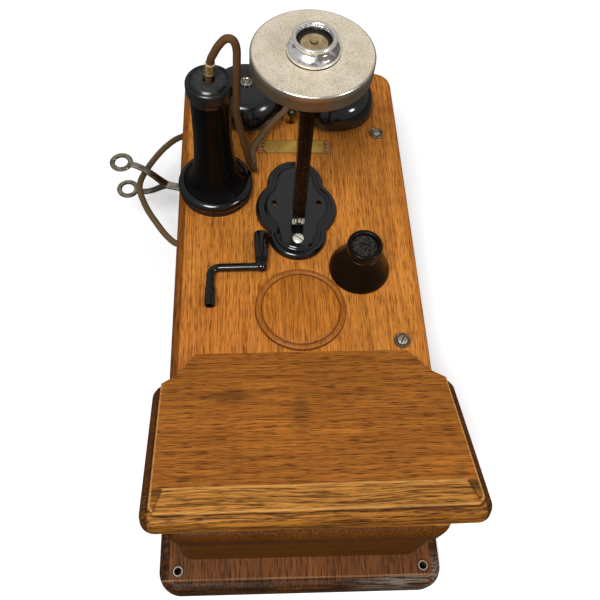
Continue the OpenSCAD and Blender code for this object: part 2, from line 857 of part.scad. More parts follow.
module arm() {
    top = face_reach + cup_back;
    top_y = face_y - pivot_y;
    pad_t = 5;
    flange = 3;
    web = arm_t / 2 - 2;
    color("black") arm_frame() difference() {
        union() {
            rotate([0, 90, 0]) cylinder(r = lug_r - lug_gap, h = arm_w, center = true);
            hull() {
                translate([-arm_w / 2, -arm_t / 2, 0]) cube([arm_w, arm_t, 1]);
                translate([-arm_top_w / 2, top_y - arm_t / 2, top - 1]) cube([arm_top_w, arm_t, 1]);
            }
            translate([0, top_y, top - pad_t]) cylinder(d = pad_d, h = pad_t);
        }
        rotate([0, 90, 0]) cylinder(d = pivot_d + 2 * fit, h = 2 * arm_w, center = true);
        rotate([0, 90, 0]) cylinder(r = lug_r + lug_gap, h = lug_t + 2 * lug_gap, center = true);
        hull() {
            translate([-arm_w / 2 + flange, -arm_t, 2 * lug_r]) cube([arm_w - 2 * flange, arm_t - web, 1]);
            translate([-arm_top_w / 2 + flange, top_y - arm_t, top - 4 * pad_t])
                cube([arm_top_w - 2 * flange, arm_t - web, 1]);
        }
    }
}

module transmitter_place(z) {
    translate([base_x, face_y, face_z + face_up + z]) children();
}

module transmitter_cup() {
    outer = face_d / 2 - face_t - lug_gap;
    cup_t = 3;
    shoulder = (outer + cup_back_d / 2) / 2 + cup_t / 2;
    shoulder_z = cup_back + cup_depth * 0.3;
    color("black") transmitter_place(0) rotate_extrude() polygon([
        [0, cup_back], [cup_back_d / 2, cup_back], [shoulder, shoulder_z], [outer, -face_rim + 2],
        [outer, -face_t], [outer - cup_t, -face_t], [outer - cup_t, -face_rim + cup_t],
        [shoulder - cup_t, shoulder_z + cup_t], [0, cup_back + cup_t]
    ]);
}

module faceplate() {
    r = face_d / 2;
    round_r = 1.5;
    hole = collar_bore / 2 + overlap;
    rim_hole_d = 2;
    color("silver") transmitter_place(0) difference() {
        rotate_extrude() {
            translate([hole, -face_t]) square([r - hole - round_r, face_t]);
            translate([r - face_t, -face_rim]) square([face_t, face_rim - round_r]);
            intersection() {
                translate([r - round_r, -round_r]) circle(round_r);
                translate([r - round_r, -round_r]) square(round_r);
            }
            translate([r - face_t, -face_t]) square([face_t - round_r + eps, face_t]);
        }
        for (a = [-65, 65, 180]) rotate(a - 90) translate([r, 0, -face_rim / 2]) rotate([0, 90, 0])
            cylinder(d = rim_hole_d, h = 3 * face_t, center = true);
    }
}

module collar() {
    lip = collar_d / 2;
    bore = collar_bore / 2;
    foot = collar_foot_d / 2;
    neck = lip - 1;
    neck_z = 0.7 * collar_h;
    lip_z = 0.8 * collar_h;
    edge = 0.6;
    color("gainsboro") transmitter_place(0) rotate_extrude() polygon(concat(
        [[bore, 0]],
        [for (a = [0:15:75]) [neck + (foot - neck) * cos(a), neck_z * sin(a)]],
        [[neck, neck_z], [lip - edge / 2, lip_z], [lip, lip_z + edge], [lip, collar_h - edge],
            [lip - edge, collar_h], [bore + edge, collar_h], [bore, collar_h - edge]]
    ));
}

module diaphragm() {
    disc = 1.2;
    rivet_d = 5;
    color("tan") transmitter_place(collar_h - diaphragm_drop) {
        cylinder(r = collar_bore / 2 - fit, h = disc);
        cylinder(d = rivet_d, h = disc + 1);
        cylinder(d = rivet_d / 2, h = disc + 1.7);
    }
}

// Gongs with their posts
function gong_side(i) = i == 0 ? -1 : 1;
function gong_arc(r, h, flat) = [for (a = [0:9:90])
    [r * flat + r * (1 - flat) * sin(a), h * pow(cos(a), 0.8)]];

module gong(i) {
    r = gong_d / 2;
    flat = 0.42;
    outer = gong_arc(r, gong_h, flat);
    inner = gong_arc(r - gong_t, gong_h - gong_t, flat);
    color("black") translate([gong_side(i) * gong_x, gong_y, face_z + gong_up])
        rotate_extrude() polygon(concat(
            [[gong_hole_d / 2, gong_h]], outer,
            [for (k = [len(inner) - 1:-1:0]) inner[k]], [[gong_hole_d / 2, gong_h - gong_t]]
        ));
}

module gong_post(i) {
    seat = gong_up + gong_h - gong_t;
    foot_r = 9;
    foot_h = 3;
    nut_h = 4;
    end_h = 3;
    color("gray") translate([gong_side(i) * gong_x, gong_y, face_z]) {
        cylinder(r = foot_r, h = foot_h);
        cylinder(d = post_d, h = seat);
        cylinder(d = gong_hole_d - 2 * fit, h = seat + gong_t + nut_h + end_h);
        translate([0, 0, seat + gong_t]) cylinder(d = nut_d, h = nut_h, $fn = 6);
    }
}

// Ringer behind the door
module ringer_frame() {
    half = 26;
    foot = 6;
    across = 2 * ringer_half;
    color("dimgray") translate([0, clapper_y, 0]) {
        translate([-ringer_half, -ringer_cheek_r, ringer_z]) cube([across, 2 * ringer_cheek_r, yoke_t]);
        for (s = [-1, 1]) translate([-foot / 2, s * half - foot / 2, ringer_z])
            cube([foot, foot, ringer_depth]);
        translate([-foot / 2, -half, ringer_z]) cube([foot, 2 * half, yoke_t]);
        translate([0, 0, clapper_z]) rotate([90, 0, 0]) cylinder(d = rod_d, h = 2 * half, center = true);
    }
}

module ringer_coil(i) {
    base = ringer_z + yoke_t;
    cheek_t = 2;
    coil_r = ringer_cheek_r - 1.5;
    len = clapper_z - bar_t / 2 - ringer_half * tan(clapper_swing) - 2 * overlap - base;
    color("darkgreen") translate([gong_side(i) * ringer_coil_x, clapper_y, base]) {
        cylinder(r = coil_r, h = len);
        for (z = [0, len - cheek_t]) translate([0, 0, z]) cylinder(r = ringer_cheek_r, h = cheek_t);
    }
}

module clapper() {
    bar_w = 10;
    hub_d = 7;
    hub_len = 12;
    color("black") translate([0, clapper_y, 0]) difference() {
        union() {
            translate([-ringer_half, -bar_w / 2, clapper_z - bar_t / 2])
                cube([2 * ringer_half, bar_w, bar_t]);
            translate([0, 0, clapper_z]) rotate([90, 0, 0]) cylinder(d = hub_d, h = hub_len, center = true);
            translate([0, 0, clapper_z]) cylinder(d = rod_d, h = ball_z - clapper_z);
            translate([0, 0, ball_z]) sphere(d = ball_d);
        }
        translate([0, 0, clapper_z]) rotate([90, 0, 0])
            cylinder(d = rod_d + 2 * fit, h = 2 * hub_len, center = true);
    }
}

// Hook: a lever with a fork whose two prongs end in rings
module strip(a, b, t) {
    d = b - a;
    translate(a) rotate(atan2(d[1], d[0])) {
        translate([0, -t / 2]) square([norm(d), t]);
        circle(d = t);
        translate([norm(d), 0]) circle(d = t);
    }
}

module hook_lever() {
    half = (fork_gap + lever_t) / 2;
    prong_end = hook_len - ring_d / 2 + lever_t / 2;
    prong_h = lever_h - 2;
    tail = 14;
    yoke = [[lever_len, 0], [lever_len + 4, half * 0.58], [lever_len + 14, half * 0.9], [prong_end, half]];
    color("silver") translate([hook_x, hook_y, hook_z]) rotate(180 - hook_angle) difference() {
        union() {
            cylinder(r = hub_r, h = hub_h, center = true);
            rotate([90, 0, 0]) linear_extrude(lever_h, center = true)
                strip([-tail, 0], [lever_len, 0], lever_t);
            rotate([90, 0, 0]) linear_extrude(prong_h, center = true)
                for (side = [0, 1], k = [1:len(yoke) - 1])
                    mirror([0, side]) strip(yoke[k - 1], yoke[k], lever_t);
            for (s = [-1, 1]) translate([hook_len, 0, s * half])
                cylinder(d = ring_d, h = lever_t, center = true);
        }
        for (s = [-1, 1]) translate([hook_len, 0, s * half])
            cylinder(d = ring_bore, h = 3 * lever_t, center = true);
        cylinder(d = hook_pin_d + 2 * fit, h = 2 * hub_h, center = true);
    }
}

module hook_bracket() {
    under = hook_z - hub_h / 2 - door_gap - board_t;
    over = under + hub_h + 2 * door_gap;
    foot = 28;
    foot_t = 3;
    head_t = 3;
    color("dimgray") translate([hook_x, hook_y, board_t]) {
        translate([-foot / 2, -foot / 2, 0]) cube([foot, foot, foot_t]);
        cylinder(r = hub_r + 1, h = under);
        cylinder(d = hook_pin_d, h = over + head_t);
        translate([0, 0, over]) cylinder(r = hub_r - 1, h = head_t);
    }
}

module contact_springs() {
    stack_h = hook_up + hub_h / 2;
    stack = [2.5 * spring_pitch, 4 * spring_pitch];
    foot = [3 * spring_pitch, 10 * spring_pitch, 3.75 * spring_t];
    first = hub_r + spring_pitch;
    color("goldenrod") translate([hook_x + spring_x, hook_y, board_t]) {
        translate([-foot[0] / 2, -foot[1] / 2, 0]) cube(foot);
        translate([-stack[0] / 2, first - spring_pitch, 0]) cube([stack[0], stack[1], stack_h]);
        for (k = [0:2])
            translate([k * spring_pitch - spring_len, first + k * spring_pitch, stack_h - spring_w])
                cube([spring_len, spring_t, spring_w]);
    }
}

module cord_grommet() {
    length = grommet_out + wall_t;
    color("darkgoldenrod") along_x(-box_w / 2 - grommet_out, grommet_y, grommet_z) difference() {
        union() {
            cylinder(r = grommet_r + 2, h = grommet_out);
            cylinder(r = grommet_r - fit, h = length);
        }
        translate([0, 0, -overlap]) cylinder(r = cord_r - 1, h = length + 2 * overlap);
    }
}

// Magneto with its crank shaft, gear, pinion and armature
module along_x(x, y, z) {
    translate([x, y, z]) rotate([0, 90, 0]) children();
}

module toothed(r, teeth, depth, t) {
    linear_extrude(t) polygon([for (k = [0:4 * teeth - 1])
        let (a = k * tau / (4 * teeth), rr = k % 4 < 2 ? r : r - depth) [rr * cos(a), rr * sin(a)]]);
}

module magneto_frame() {
    margin = 10;
    start = armature_y - magnet_r - magnet_t - margin / 2;
    length = drive_y + margin - start;
    color("goldenrod") difference() {
        union() {
            translate([frame_x, start, board_t]) cube([frame_len, length, frame_foot]);
            for (x = [frame_x, frame_x + frame_len - plate_t])
                translate([x, start, board_t]) cube([plate_t, length, drive_up + margin]);
        }
        along_x(0, drive_y, drive_z) cylinder(d = drive_d + 2 * fit, h = box_w);
        along_x(0, armature_y, armature_z) cylinder(d = axle_d + 2 * fit, h = box_w);
    }
}

module magnets() {
    outer = magnet_r + magnet_t;
    legs = armature_z - board_t - frame_foot;
    pitch = bay / magnet_count;
    color("firebrick") for (k = [0:magnet_count - 1])
        translate([frame_x + plate_t + pitch * k, armature_y, board_t + frame_foot]) rotate([90, 0, 90])
            linear_extrude(pitch - mesh_gap) difference() {
                union() {
                    translate([0, legs]) circle(outer);
                    translate([-outer, 0]) square([2 * outer, legs]);
                }
                translate([0, legs]) circle(magnet_r);
                translate([-magnet_r, -overlap]) square([2 * magnet_r, legs + overlap]);
                translate([-2 * outer, -2 * outer]) square([4 * outer, 2 * outer]);
            }
}

module drive_bushing() {
    flange_d = drive_d + 4 * bore_wall;
    color("silver") along_x(box_w / 2, drive_y, drive_z) difference() {
        union() {
            cylinder(d = flange_d, h = flange_t);
            translate([0, 0, -wall_t]) cylinder(d = drive_d + 2 * bore_wall - 2 * fit, h = wall_t + eps);
        }
        translate([0, 0, -wall_t - overlap])
            cylinder(d = drive_d + 2 * fit, h = wall_t + flange_t + 2 * overlap);
    }
}

module drive_shaft() {
    color("silver") {
        along_x(gear_x - axle_out, drive_y, drive_z) cylinder(d = drive_d, h = shaft_end - gear_x + axle_out);
        along_x(shaft_end - overlap, drive_y, drive_z) cylinder(d = stub_d, h = stub_len + overlap);
        along_x(gear_x, drive_y, drive_z) toothed(gear_r, gear_teeth, tooth, gear_t);
    }
}

module armature() {
    axle_len = frame_x + frame_len - gear_x + 2 * axle_out;
    color("silver") {
        along_x(gear_x - axle_out, armature_y, armature_z) cylinder(d = axle_d, h = axle_len);
        along_x(frame_x + plate_t + overlap, armature_y, armature_z)
            cylinder(r = armature_r, h = bay - 2 * overlap);
        along_x(gear_x, armature_y, armature_z) toothed(pinion_r, round(gear_teeth / 4), tooth, gear_t);
    }
}

// Other fittings on the backboard inside the box
module induction_coil() {
    color("darkgreen") translate([fitting_x, coil_y, board_t]) {
        along_x(0, cheek_w / 2, cheek_w / 2) cylinder(d = coil_d, h = coil_len);
        for (x = [0, coil_len - cheek_t]) translate([x, 0, 0]) cube([cheek_t, cheek_w, cheek_w]);
    }
}

module condenser() {
    color("silver") translate([fitting_x, can_y, board_t]) cube([can_w, can_h, can_depth]);
}

module terminal_block() {
    nut_d = 0.4 * terminal_pitch;
    nut_h = 0.1 * terminal_t;
    post_d = 0.27 * terminal_pitch;
    post_h = terminal_t / 3;
    color("saddlebrown") translate([-terminal_count * terminal_pitch / 2, terminal_y, board_t]) {
        cube([terminal_count * terminal_pitch, terminal_pitch, terminal_t]);
        for (k = [0:terminal_count - 1])
            translate([terminal_pitch * (k + 0.5), terminal_pitch / 2, terminal_t]) {
                cylinder(d = nut_d, h = nut_h);
                cylinder(d = post_d, h = post_h);
            }
    }
}

// Receiver, standing on its ear cap
module receiver_place() {
    translate([receiver_x, receiver_y, face_z + rest_gap]) children();
}

function flare(r0, r1, z0, z1) = [for (a = [0:10:90])
    [r1 + (r0 - r1) * (1 - sin(a)), z0 + (z1 - z0) * (1 - cos(a))]];

module ear_cap() {
    r = ear_cap_d / 2;
    edge = 5;
    color("black") receiver_place() rotate_extrude() difference() {
        union() {
            square([r - edge, ear_cap_h]);
            translate([0, edge]) square([r, ear_cap_h - 2 * edge]);
            for (z = [edge, ear_cap_h - edge]) translate([r - edge, z]) circle(edge);
        }
        polygon([
            [0, -overlap], [r - edge - 2, -overlap], [sound_r, edge], [sound_r, ear_cap_h], [0, ear_cap_h]
        ]);
        translate([0, ear_cap_h - cap_depth]) square([r - cap_wall, cap_depth + overlap]);
    }
}

module receiver_diaphragm() {
    color("gray") receiver_place() translate([0, 0, ear_cap_h - cap_depth])
        cylinder(r = ear_cap_d / 2 - cap_wall - door_gap, h = disc_t);
}

module receiver_shell() {
    foot = ear_cap_d / 2 - cap_wall - door_gap;
    waist = waist_d / 2;
    z0 = ear_cap_h - cap_depth + disc_t;
    top = receiver_h - tail_cap_h;
    flare_top = ear_cap_h + flare_h;
    cavity = foot - 2 * shell_t;
    seat = ear_cap_h + door_gap;
    shoulder = ear_cap_d / 2 - 2.5;
    color("black") receiver_place() rotate_extrude() polygon(concat(
        [[foot, z0], [foot, seat]],
        flare(shoulder, waist + 1.5, seat, flare_top),
        [[waist, top - 12], [waist, top], [waist - shell_t, top], [waist - shell_t, flare_top],
            [cavity, ear_cap_h + 2], [cavity, z0]]
    ));
}

module tail_cap() {
    r = tail_cap_d / 2;
    edge = 3;
    skirt = 4;
    bead = [skirt + overlap, tail_cap_h - overlap];
    color("black") receiver_place() translate([0, 0, receiver_h - tail_cap_h]) rotate_extrude() difference() {
        union() {
            square([r - edge, tail_cap_h]);
            square([r - edge + overlap, skirt]);
            translate([0, bead[0] + edge]) square([r, bead[1] - bead[0] - 2 * edge]);
            for (z = [bead[0] + edge, bead[1] - edge]) translate([r - edge, z]) circle(edge);
        }
        square([cord_r + ferrule_t - door_gap, 3 * tail_cap_h]);
    }
}

module cord_ferrule() {
    length = 9.5;
    low = drop_path[1];
    high = drop_path[2];
    lean = atan2(high[0] - low[0], high[2] - low[2]);
    color("goldenrod") translate((low + high) / 2) rotate([0, lean, 0]) difference() {
        cylinder(r = cord_r + ferrule_t, h = length, center = true);
        cylinder(r = cord_r + fit, h = 2 * length, center = true);
    }
}

module receiver_cord() {
    color("sienna") tube(drop_path, cord_r, cord_sides);
}

module cord_run() {
    color("sienna") tube(run_path, cord_r, cord_sides);
}

module cord_loop() {
    color("sienna") tube(loop_path, cord_r, cord_sides);
}

// Mouthpiece, standing on its mouth
function bell(r0, r1, z0, z1) = [for (t = [0:0.125:1])
    [r1 + (r0 - r1) * pow(1 - t, 1.5), z0 + (z1 - z0) * t]];

module mouthpiece() {
    mouth = mouth_d / 2;
    neck = mouth_top_d / 2;
    neck_h = 10;
    lip = 3;
    edge = 1;
    recess = 2;
    throat = 4;
    outer = bell(mouth, neck, lip, mouth_h - neck_h);
    inner = bell(mouth - mouth_t, neck - mouth_t - recess, lip, mouth_h - neck_h);
    color("black") translate([mouth_x, mouth_y, face_z + rest_gap]) rotate_extrude() polygon(concat(
        [[mouth - mouth_t, 0], [mouth, 0]], outer,
        [[neck, mouth_h - edge], [neck - edge, mouth_h], [neck - mouth_t, mouth_h],
            [neck - mouth_t, mouth_h - recess], [throat, mouth_h - recess], [throat, mouth_h - neck_h / 2]],
        [for (k = [len(inner) - 1:-1:0]) inner[k]]
    ));
}

// Crank, lying on the door with its grip
module crank_place() {
    drop = grip_d / 2 - shank_d / 2;
    translate([crank_x + crank_throw, crank_y, face_z + grip_lift])
        rotate([0, -atan2(drop, crank_throw), 0]) translate([-crank_throw, 0, 0]) children();
}

module crank() {
    bend = crank_d;
    socket = stub_len + overlap;
    boss_d = crank_d + 2;
    grip_end = grip_start + grip_len + door_gap;
    cap_t = 0.9;
    color("black") crank_place() {
        translate([0, -bend, 0]) rotate([90, 0, 0]) difference() {
            cylinder(d = shank_d, h = shank_len - bend);
            translate([0, 0, shank_len - bend - socket]) cylinder(d = stub_d + 2 * fit, h = socket + overlap);
        }
        translate([bend, -bend, 0]) rotate([0, 0, 90])
            rotate_extrude(angle = 90) translate([bend, 0]) circle(d = crank_d);
        translate([bend, 0, 0]) rotate([0, 90, 0]) cylinder(d = crank_d, h = crank_throw - bend);
        translate([crank_throw, 0, 0]) {
            sphere(d = boss_d);
            rotate([-90, 0, 0]) {
                cylinder(d = boss_d, h = grip_start - door_gap);
                cylinder(d = spindle_d, h = grip_end + cap_t);
                translate([0, 0, grip_end]) cylinder(d = spindle_d + 3, h = cap_t);
            }
        }
    }
}

module crank_grip() {
    r = grip_d / 2;
    edge = 1.5;
    color("black") crank_place() translate([crank_throw, grip_start, 0]) rotate([-90, 0, 0])
        rotate_extrude() difference() {
            union() {
                square([r - edge, grip_len]);
                translate([0, edge]) square([r, grip_len - 2 * edge]);
                for (z = [edge, grip_len - edge]) translate([r - edge, z]) circle(edge);
            }
            translate([0, -overlap]) square([spindle_d / 2 + fit, grip_len + 2 * overlap]);
        }
}

backboard();
eyelet(0);  // eyelet_1
eyelet(1);  // eyelet_2
eyelet(2);  // eyelet_3
eyelet(3);  // eyelet_4
left_wall();
right_wall();
top_wall();
bottom_wall();
magnets();
magneto_frame();
drive_bushing();
induction_coil();
condenser();
terminal_block();
hook_bracket();
contact_springs();
cord_grommet();
case_leaf(1);  // case_leaf_1
case_leaf(-1);  // case_leaf_2
cord_loop();
door_panel();
door_leaf(1);  // door_leaf_1
door_leaf(-1);  // door_leaf_2
door_screw(0);  // door_screw_1
door_screw(1);  // door_screw_2
cup_washer(0);  // cup_washer_1
cup_washer(1);  // cup_washer_2
shelf();
dial_blank();
nameplate();
arm_base();
base_screw();
arm_pin();
gong(0);  // gong_1
gong(1);  // gong_2
gong_post(0);  // gong_post_1
gong_post(1);  // gong_post_2
ringer_frame();
ringer_coil(0);  // ringer_coil_1
ringer_coil(1);  // ringer_coil_2
cord_run();
arm();
transmitter_cup();
faceplate();
collar();
diaphragm();
clapper();
hook_lever();
drive_shaft();
armature();
receiver_shell();
ear_cap();
receiver_diaphragm();
tail_cap();
cord_ferrule();
receiver_cord();
mouthpiece();
crank();
crank_grip();
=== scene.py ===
import math
import bmesh
import bpy
from mathutils import Matrix, Vector


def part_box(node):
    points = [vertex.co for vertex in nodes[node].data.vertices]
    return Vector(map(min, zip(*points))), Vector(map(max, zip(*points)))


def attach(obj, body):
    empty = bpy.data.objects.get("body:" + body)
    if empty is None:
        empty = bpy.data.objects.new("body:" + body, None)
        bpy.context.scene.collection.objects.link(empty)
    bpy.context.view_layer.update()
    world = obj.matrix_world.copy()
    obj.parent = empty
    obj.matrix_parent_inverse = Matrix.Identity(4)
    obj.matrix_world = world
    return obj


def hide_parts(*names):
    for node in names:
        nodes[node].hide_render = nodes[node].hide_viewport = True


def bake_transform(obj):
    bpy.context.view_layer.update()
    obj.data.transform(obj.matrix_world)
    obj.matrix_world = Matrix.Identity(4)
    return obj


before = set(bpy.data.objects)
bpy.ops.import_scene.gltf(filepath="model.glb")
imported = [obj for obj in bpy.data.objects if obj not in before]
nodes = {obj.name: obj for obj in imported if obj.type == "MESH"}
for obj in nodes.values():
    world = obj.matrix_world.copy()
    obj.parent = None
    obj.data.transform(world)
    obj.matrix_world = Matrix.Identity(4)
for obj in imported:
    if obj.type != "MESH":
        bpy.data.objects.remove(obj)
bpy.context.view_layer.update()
scene = bpy.context.scene
print("frame loaded:", len(nodes), "nodes")

# camera at the place that the picture was taken from
viewpoint = {
    "place": (-0.0439, -0.3112, 0.6189),
    "right": (0.9988, -0.0289, 0.0404),
    "up": (0.0060, 0.8772, 0.4801),
    "ahead": (0.0493, 0.4792, -0.8763),
    "lens": 40.79,
    "shift": 0.0329,
}


def addObject(name, data):
    item = bpy.data.objects.new(name, data)
    scene.collection.objects.link(item)
    return item


def setCamera():
    data = bpy.data.cameras.new("viewpoint")
    camera = addObject("viewpoint", data)
    right, up, ahead = (Vector(viewpoint[k]) for k in ("right", "up", "ahead"))
    turn = Matrix((right, up, -ahead)).transposed().to_4x4()
    camera.matrix_world = Matrix.Translation(viewpoint["place"]) @ turn
    data.sensor_width = 36
    data.lens = viewpoint["lens"]
    data.shift_x = viewpoint["shift"]
    data.clip_start = 0.01
    scene.camera = camera


setCamera()
print("camera set")


# a value in a node tree; arithmetic on it adds Math nodes
class Field:
    def __init__(self, tree, socket):
        self.tree = tree
        self.socket = socket

    def calc(self, operation, other=0.0):
        return addNode(self.tree, "ShaderNodeMath", {0: self, 1: other}, operation=operation)

    def most(self, other):
        return self.calc("MAXIMUM", other)

    def __add__(self, other):
        return self.calc("ADD", other)

    def __sub__(self, other):
        return self.calc("SUBTRACT", other)

    def __rsub__(self, other):
        return addNode(self.tree, "ShaderNodeMath", {0: other, 1: self}, operation="SUBTRACT")

    def __mul__(self, other):
        return self.calc("MULTIPLY", other)

    def __neg__(self):
        return self * -1.0

    def __abs__(self):
        return self.calc("ABSOLUTE")


# small helpers for node trees
def plug(tree, socket, value):
    if isinstance(value, Field):
        tree.links.new(value.socket, socket)
    else:
        socket.default_value = value


def addNode(tree, kind, inputs=(), output=0, **settings):
    item = tree.nodes.new(kind)
    for key, value in settings.items():
        setattr(item, key, value)
    for key, value in dict(inputs).items():
        plug(tree, item.inputs[key], value)
    return Field(tree, item.outputs[output])


def ramp(value, low, high, start=0.0, end=1.0):
    return addNode(value.tree, "ShaderNodeMapRange", {
        "Value": value, "From Min": low, "From Max": high, "To Min": start, "To Max": end,
    }, interpolation_type="SMOOTHSTEP")


def between(value, low, high, soft):
    return ramp(value, low - soft, low + soft) * ramp(value, high - soft, high + soft, 1, 0)


def tint(share, a, b, mode="MIX"):
    tree = next(value.tree for value in (share, a, b) if isinstance(value, Field))
    return addNode(tree, "ShaderNodeMix", {0: share, 6: a, 7: b}, 2, data_type="RGBA", blend_type=mode)


def times(colour, shade):
    return tint(1.0, colour, shade, "MULTIPLY")


def shaded(share, colour, shade):
    return tint(share, colour, times(colour, shade))


def grey(value):
    return addNode(value.tree, "ShaderNodeCombineColor", {0: value, 1: value, 2: value})


def noise(place, scale, detail=2.0, rough=0.5):
    return addNode(place.tree, "ShaderNodeTexNoise", {
        "Vector": place, "Scale": scale, "Detail": detail, "Roughness": rough,
    })


def stretched(place, size=(1, 1, 1), turn=(0, 0, 0), shift=(0, 0, 0)):
    return addNode(place.tree, "ShaderNodeMapping", {
        "Vector": place, "Scale": size, "Rotation": turn, "Location": shift,
    })


def axes(place):
    item = addNode(place.tree, "ShaderNodeSeparateXYZ", {0: place}).socket.node
    return [Field(place.tree, out) for out in item.outputs]


def length(place):
    return addNode(place.tree, "ShaderNodeVectorMath", {0: place}, "Value", operation="LENGTH")


def fromAxis(place, centre):  # distance from an upright axis, which is given in millimetres
    return length(stretched(place, (1, 1, 0), shift=(-centre[0] / 1000, -centre[1] / 1000, 0)))


def middle(node):  # centre of a solid's box, in millimetres
    low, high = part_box(node)
    return [(a + b) * 500 for a, b in zip(low, high)]


def newGroup(name, **inputs):
    group = bpy.data.node_groups.new(name, "ShaderNodeTree")
    for label, kind in inputs.items():
        group.interface.new_socket(label, in_out="INPUT", socket_type="NodeSocket" + kind)
    given = group.nodes.new("NodeGroupInput").outputs
    return group, [Field(group, given[label]) for label in inputs]


def closeGroup(group, **outputs):
    for label in outputs:
        kind = "Color" if label == "Color" else "Float"
        group.interface.new_socket(label, in_out="OUTPUT", socket_type="NodeSocket" + kind)
    result = group.nodes.new("NodeGroupOutput").inputs
    for label, value in outputs.items():
        plug(group, result[label], value)
    return group


def useGroup(tree, group, inputs):
    item = tree.nodes.new("ShaderNodeGroup")
    item.node_tree = group
    for key, value in inputs.items():
        plug(tree, item.inputs[key], value)
    return {out.name: Field(tree, out) for out in item.outputs}


# oak with the grain along Y: broad bands, streaks, fibres and short dark open pores
def makeOakGrain():
    group, given = newGroup("oakGrain", Vector="Vector", Light="Color", Dark="Color", Streaks="Float",
                            Pores="Float", Waviness="Float")
    place, light, dark, streaks, pores, waviness = given
    drift = noise(stretched(place, (22, 9, 22)), 1.0, 3)
    shift = addNode(group, "ShaderNodeCombineXYZ", {0: (drift - 0.5) * waviness})
    moved = addNode(group, "ShaderNodeVectorMath", {0: place, 1: shift}, operation="ADD")
    broad = noise(stretched(moved, (60, 2.2, 60)), 1.0, 3, 0.6)
    streak = noise(stretched(moved, (360, 15, 360)), 1.0, 2.5, 0.6)
    fibre = noise(stretched(moved, (950, 42, 950)), 1.0, 2)
    pore = noise(stretched(moved, (760, 74, 760)), 1.0, 1)
    cloud = noise(place, 9.0, 2)
    hollow = ramp(pore, 0.5, 0.66) * ramp(streak, 0.34, 0.58, 0.35, 1.0)
    share = ramp(streak, 0.36, 0.66) * streaks + ramp(broad, 0.35, 0.65) * 0.28 + (fibre - 0.5) * 0.5
    colour = tint(share, light, dark)
    colour = tint(hollow * pores, colour, times(dark, (0.4, 0.34, 0.3, 1)))
    colour = times(colour, grey(ramp(cloud, 0.25, 0.75, 0.86, 1.12)))
    rough = hollow * 0.2 + 0.4 + cloud * 0.12
    return closeGroup(group, Color=colour, Roughness=rough, Height=fibre * 0.35 - hollow)


# age marks for metal and lacquer: clouds, specks and small dents
def makeAgeMarks():
    group, (place, scale) = newGroup("ageMarks", Vector="Vector", Scale="Float")
    cloud = noise(place, scale, 4, 0.6)
    fine = noise(place, scale * 9.0, 2, 0.6)
    return closeGroup(group, Cloud=ramp(cloud, 0.3, 0.7), Specks=ramp(fine, 0.62, 0.72),
                      Height=cloud * 0.6 + fine * 0.4)


oakGrain = makeOakGrain()
ageMarks = makeAgeMarks()
materials = {}
sockets = {
    "colour": "Base Color", "rough": "Roughness", "metal": "Metallic", "gloss": "Specular IOR Level",
    "coat": "Coat Weight", "coatRough": "Coat Roughness", "glow": "Emission Color",
    "power": "Emission Strength",
}


def newMaterial(name):
    material = bpy.data.materials.new(name)
    materials[name] = material
    material.use_nodes = True
    tree = material.node_tree
    tree.nodes.clear()
    shader = tree.nodes.new("ShaderNodeBsdfPrincipled")
    output = tree.nodes.new("ShaderNodeOutputMaterial")
    tree.links.new(shader.outputs[0], output.inputs[0])
    return shader, addNode(tree, "ShaderNodeTexCoord", output="Object")


def dress(shader, **looks):
    for key, value in looks.items():
        plug(shader.id_data, shader.inputs[sockets[key]], value)


def dent(shader, height, depth):
    bump = addNode(height.tree, "ShaderNodeBump", {"Height": height, "Distance": depth})
    plug(height.tree, shader.inputs["Normal"], bump)


def agedMaterial(name, look):
    shader, place = newMaterial(name)
    return shader, place, useGroup(place.tree, ageMarks, {"Vector": place, "Scale": look["marks"]})


def dulled(marks, look):
    return ramp(marks["Cloud"], 0, 1, *look["rough"])


quarterTurn = (0, 0, math.pi / 2)
oakFinishes = {
    "oakDoor": {
        "light": (0.64, 0.24, 0.04, 1), "dark": (0.32, 0.095, 0.011, 1), "streaks": 0.5, "pores": 0.72,
        "waves": 0.004, "size": (2.6, 1.2, 2.6), "gloss": 0.1,
    },
    "oakBlank": {
        "light": (0.52, 0.175, 0.018, 1), "dark": (0.28, 0.08, 0.007, 1), "streaks": 0.5, "pores": 0.7,
        "waves": 0.004, "size": (2.5, 1.2, 2.5), "shift": (0.31, 0.4, 0), "coat": 0.15,
    },
    "oakShelf": {
        "light": (0.45, 0.155, 0.02, 1), "dark": (0.17, 0.046, 0.005, 1), "streaks": 0.55, "pores": 0.85,
        "waves": 0.02, "size": (2.2, 1.15, 2.2), "turn": quarterTurn,
    },
    "oakBoard": {
        "light": (0.17, 0.058, 0.014, 1), "dark": (0.066, 0.021, 0.005, 1), "streaks": 0.5, "pores": 0.8,
        "waves": 0.004, "size": (1.8, 1.2, 1.8), "shift": (0.2, 0, 0.1),
    },
    "oakSides": {
        "light": (0.3, 0.105, 0.016, 1), "dark": (0.15, 0.045, 0.007, 1), "streaks": 0.6, "pores": 0.6,
        "waves": 0.006, "size": (1.7, 1.3, 1.7), "shift": (0, 0.2, 0.3),
    },
    "oakEnds": {
        "light": (0.13, 0.045, 0.005, 1), "dark": (0.08, 0.025, 0.003, 1), "streaks": 0.4, "pores": 0.3,
        "waves": 0.006, "size": (1, 1, 1), "turn": quarterTurn, "gloss": 0.04,
    },
}


def oakBase(name):
    look = oakFinishes[name]
    shader, place = newMaterial(name)
    dress(shader, coat=look.get("coat", 0.02), coatRough=0.25, gloss=look.get("gloss", 0.15))
    return look, shader, place


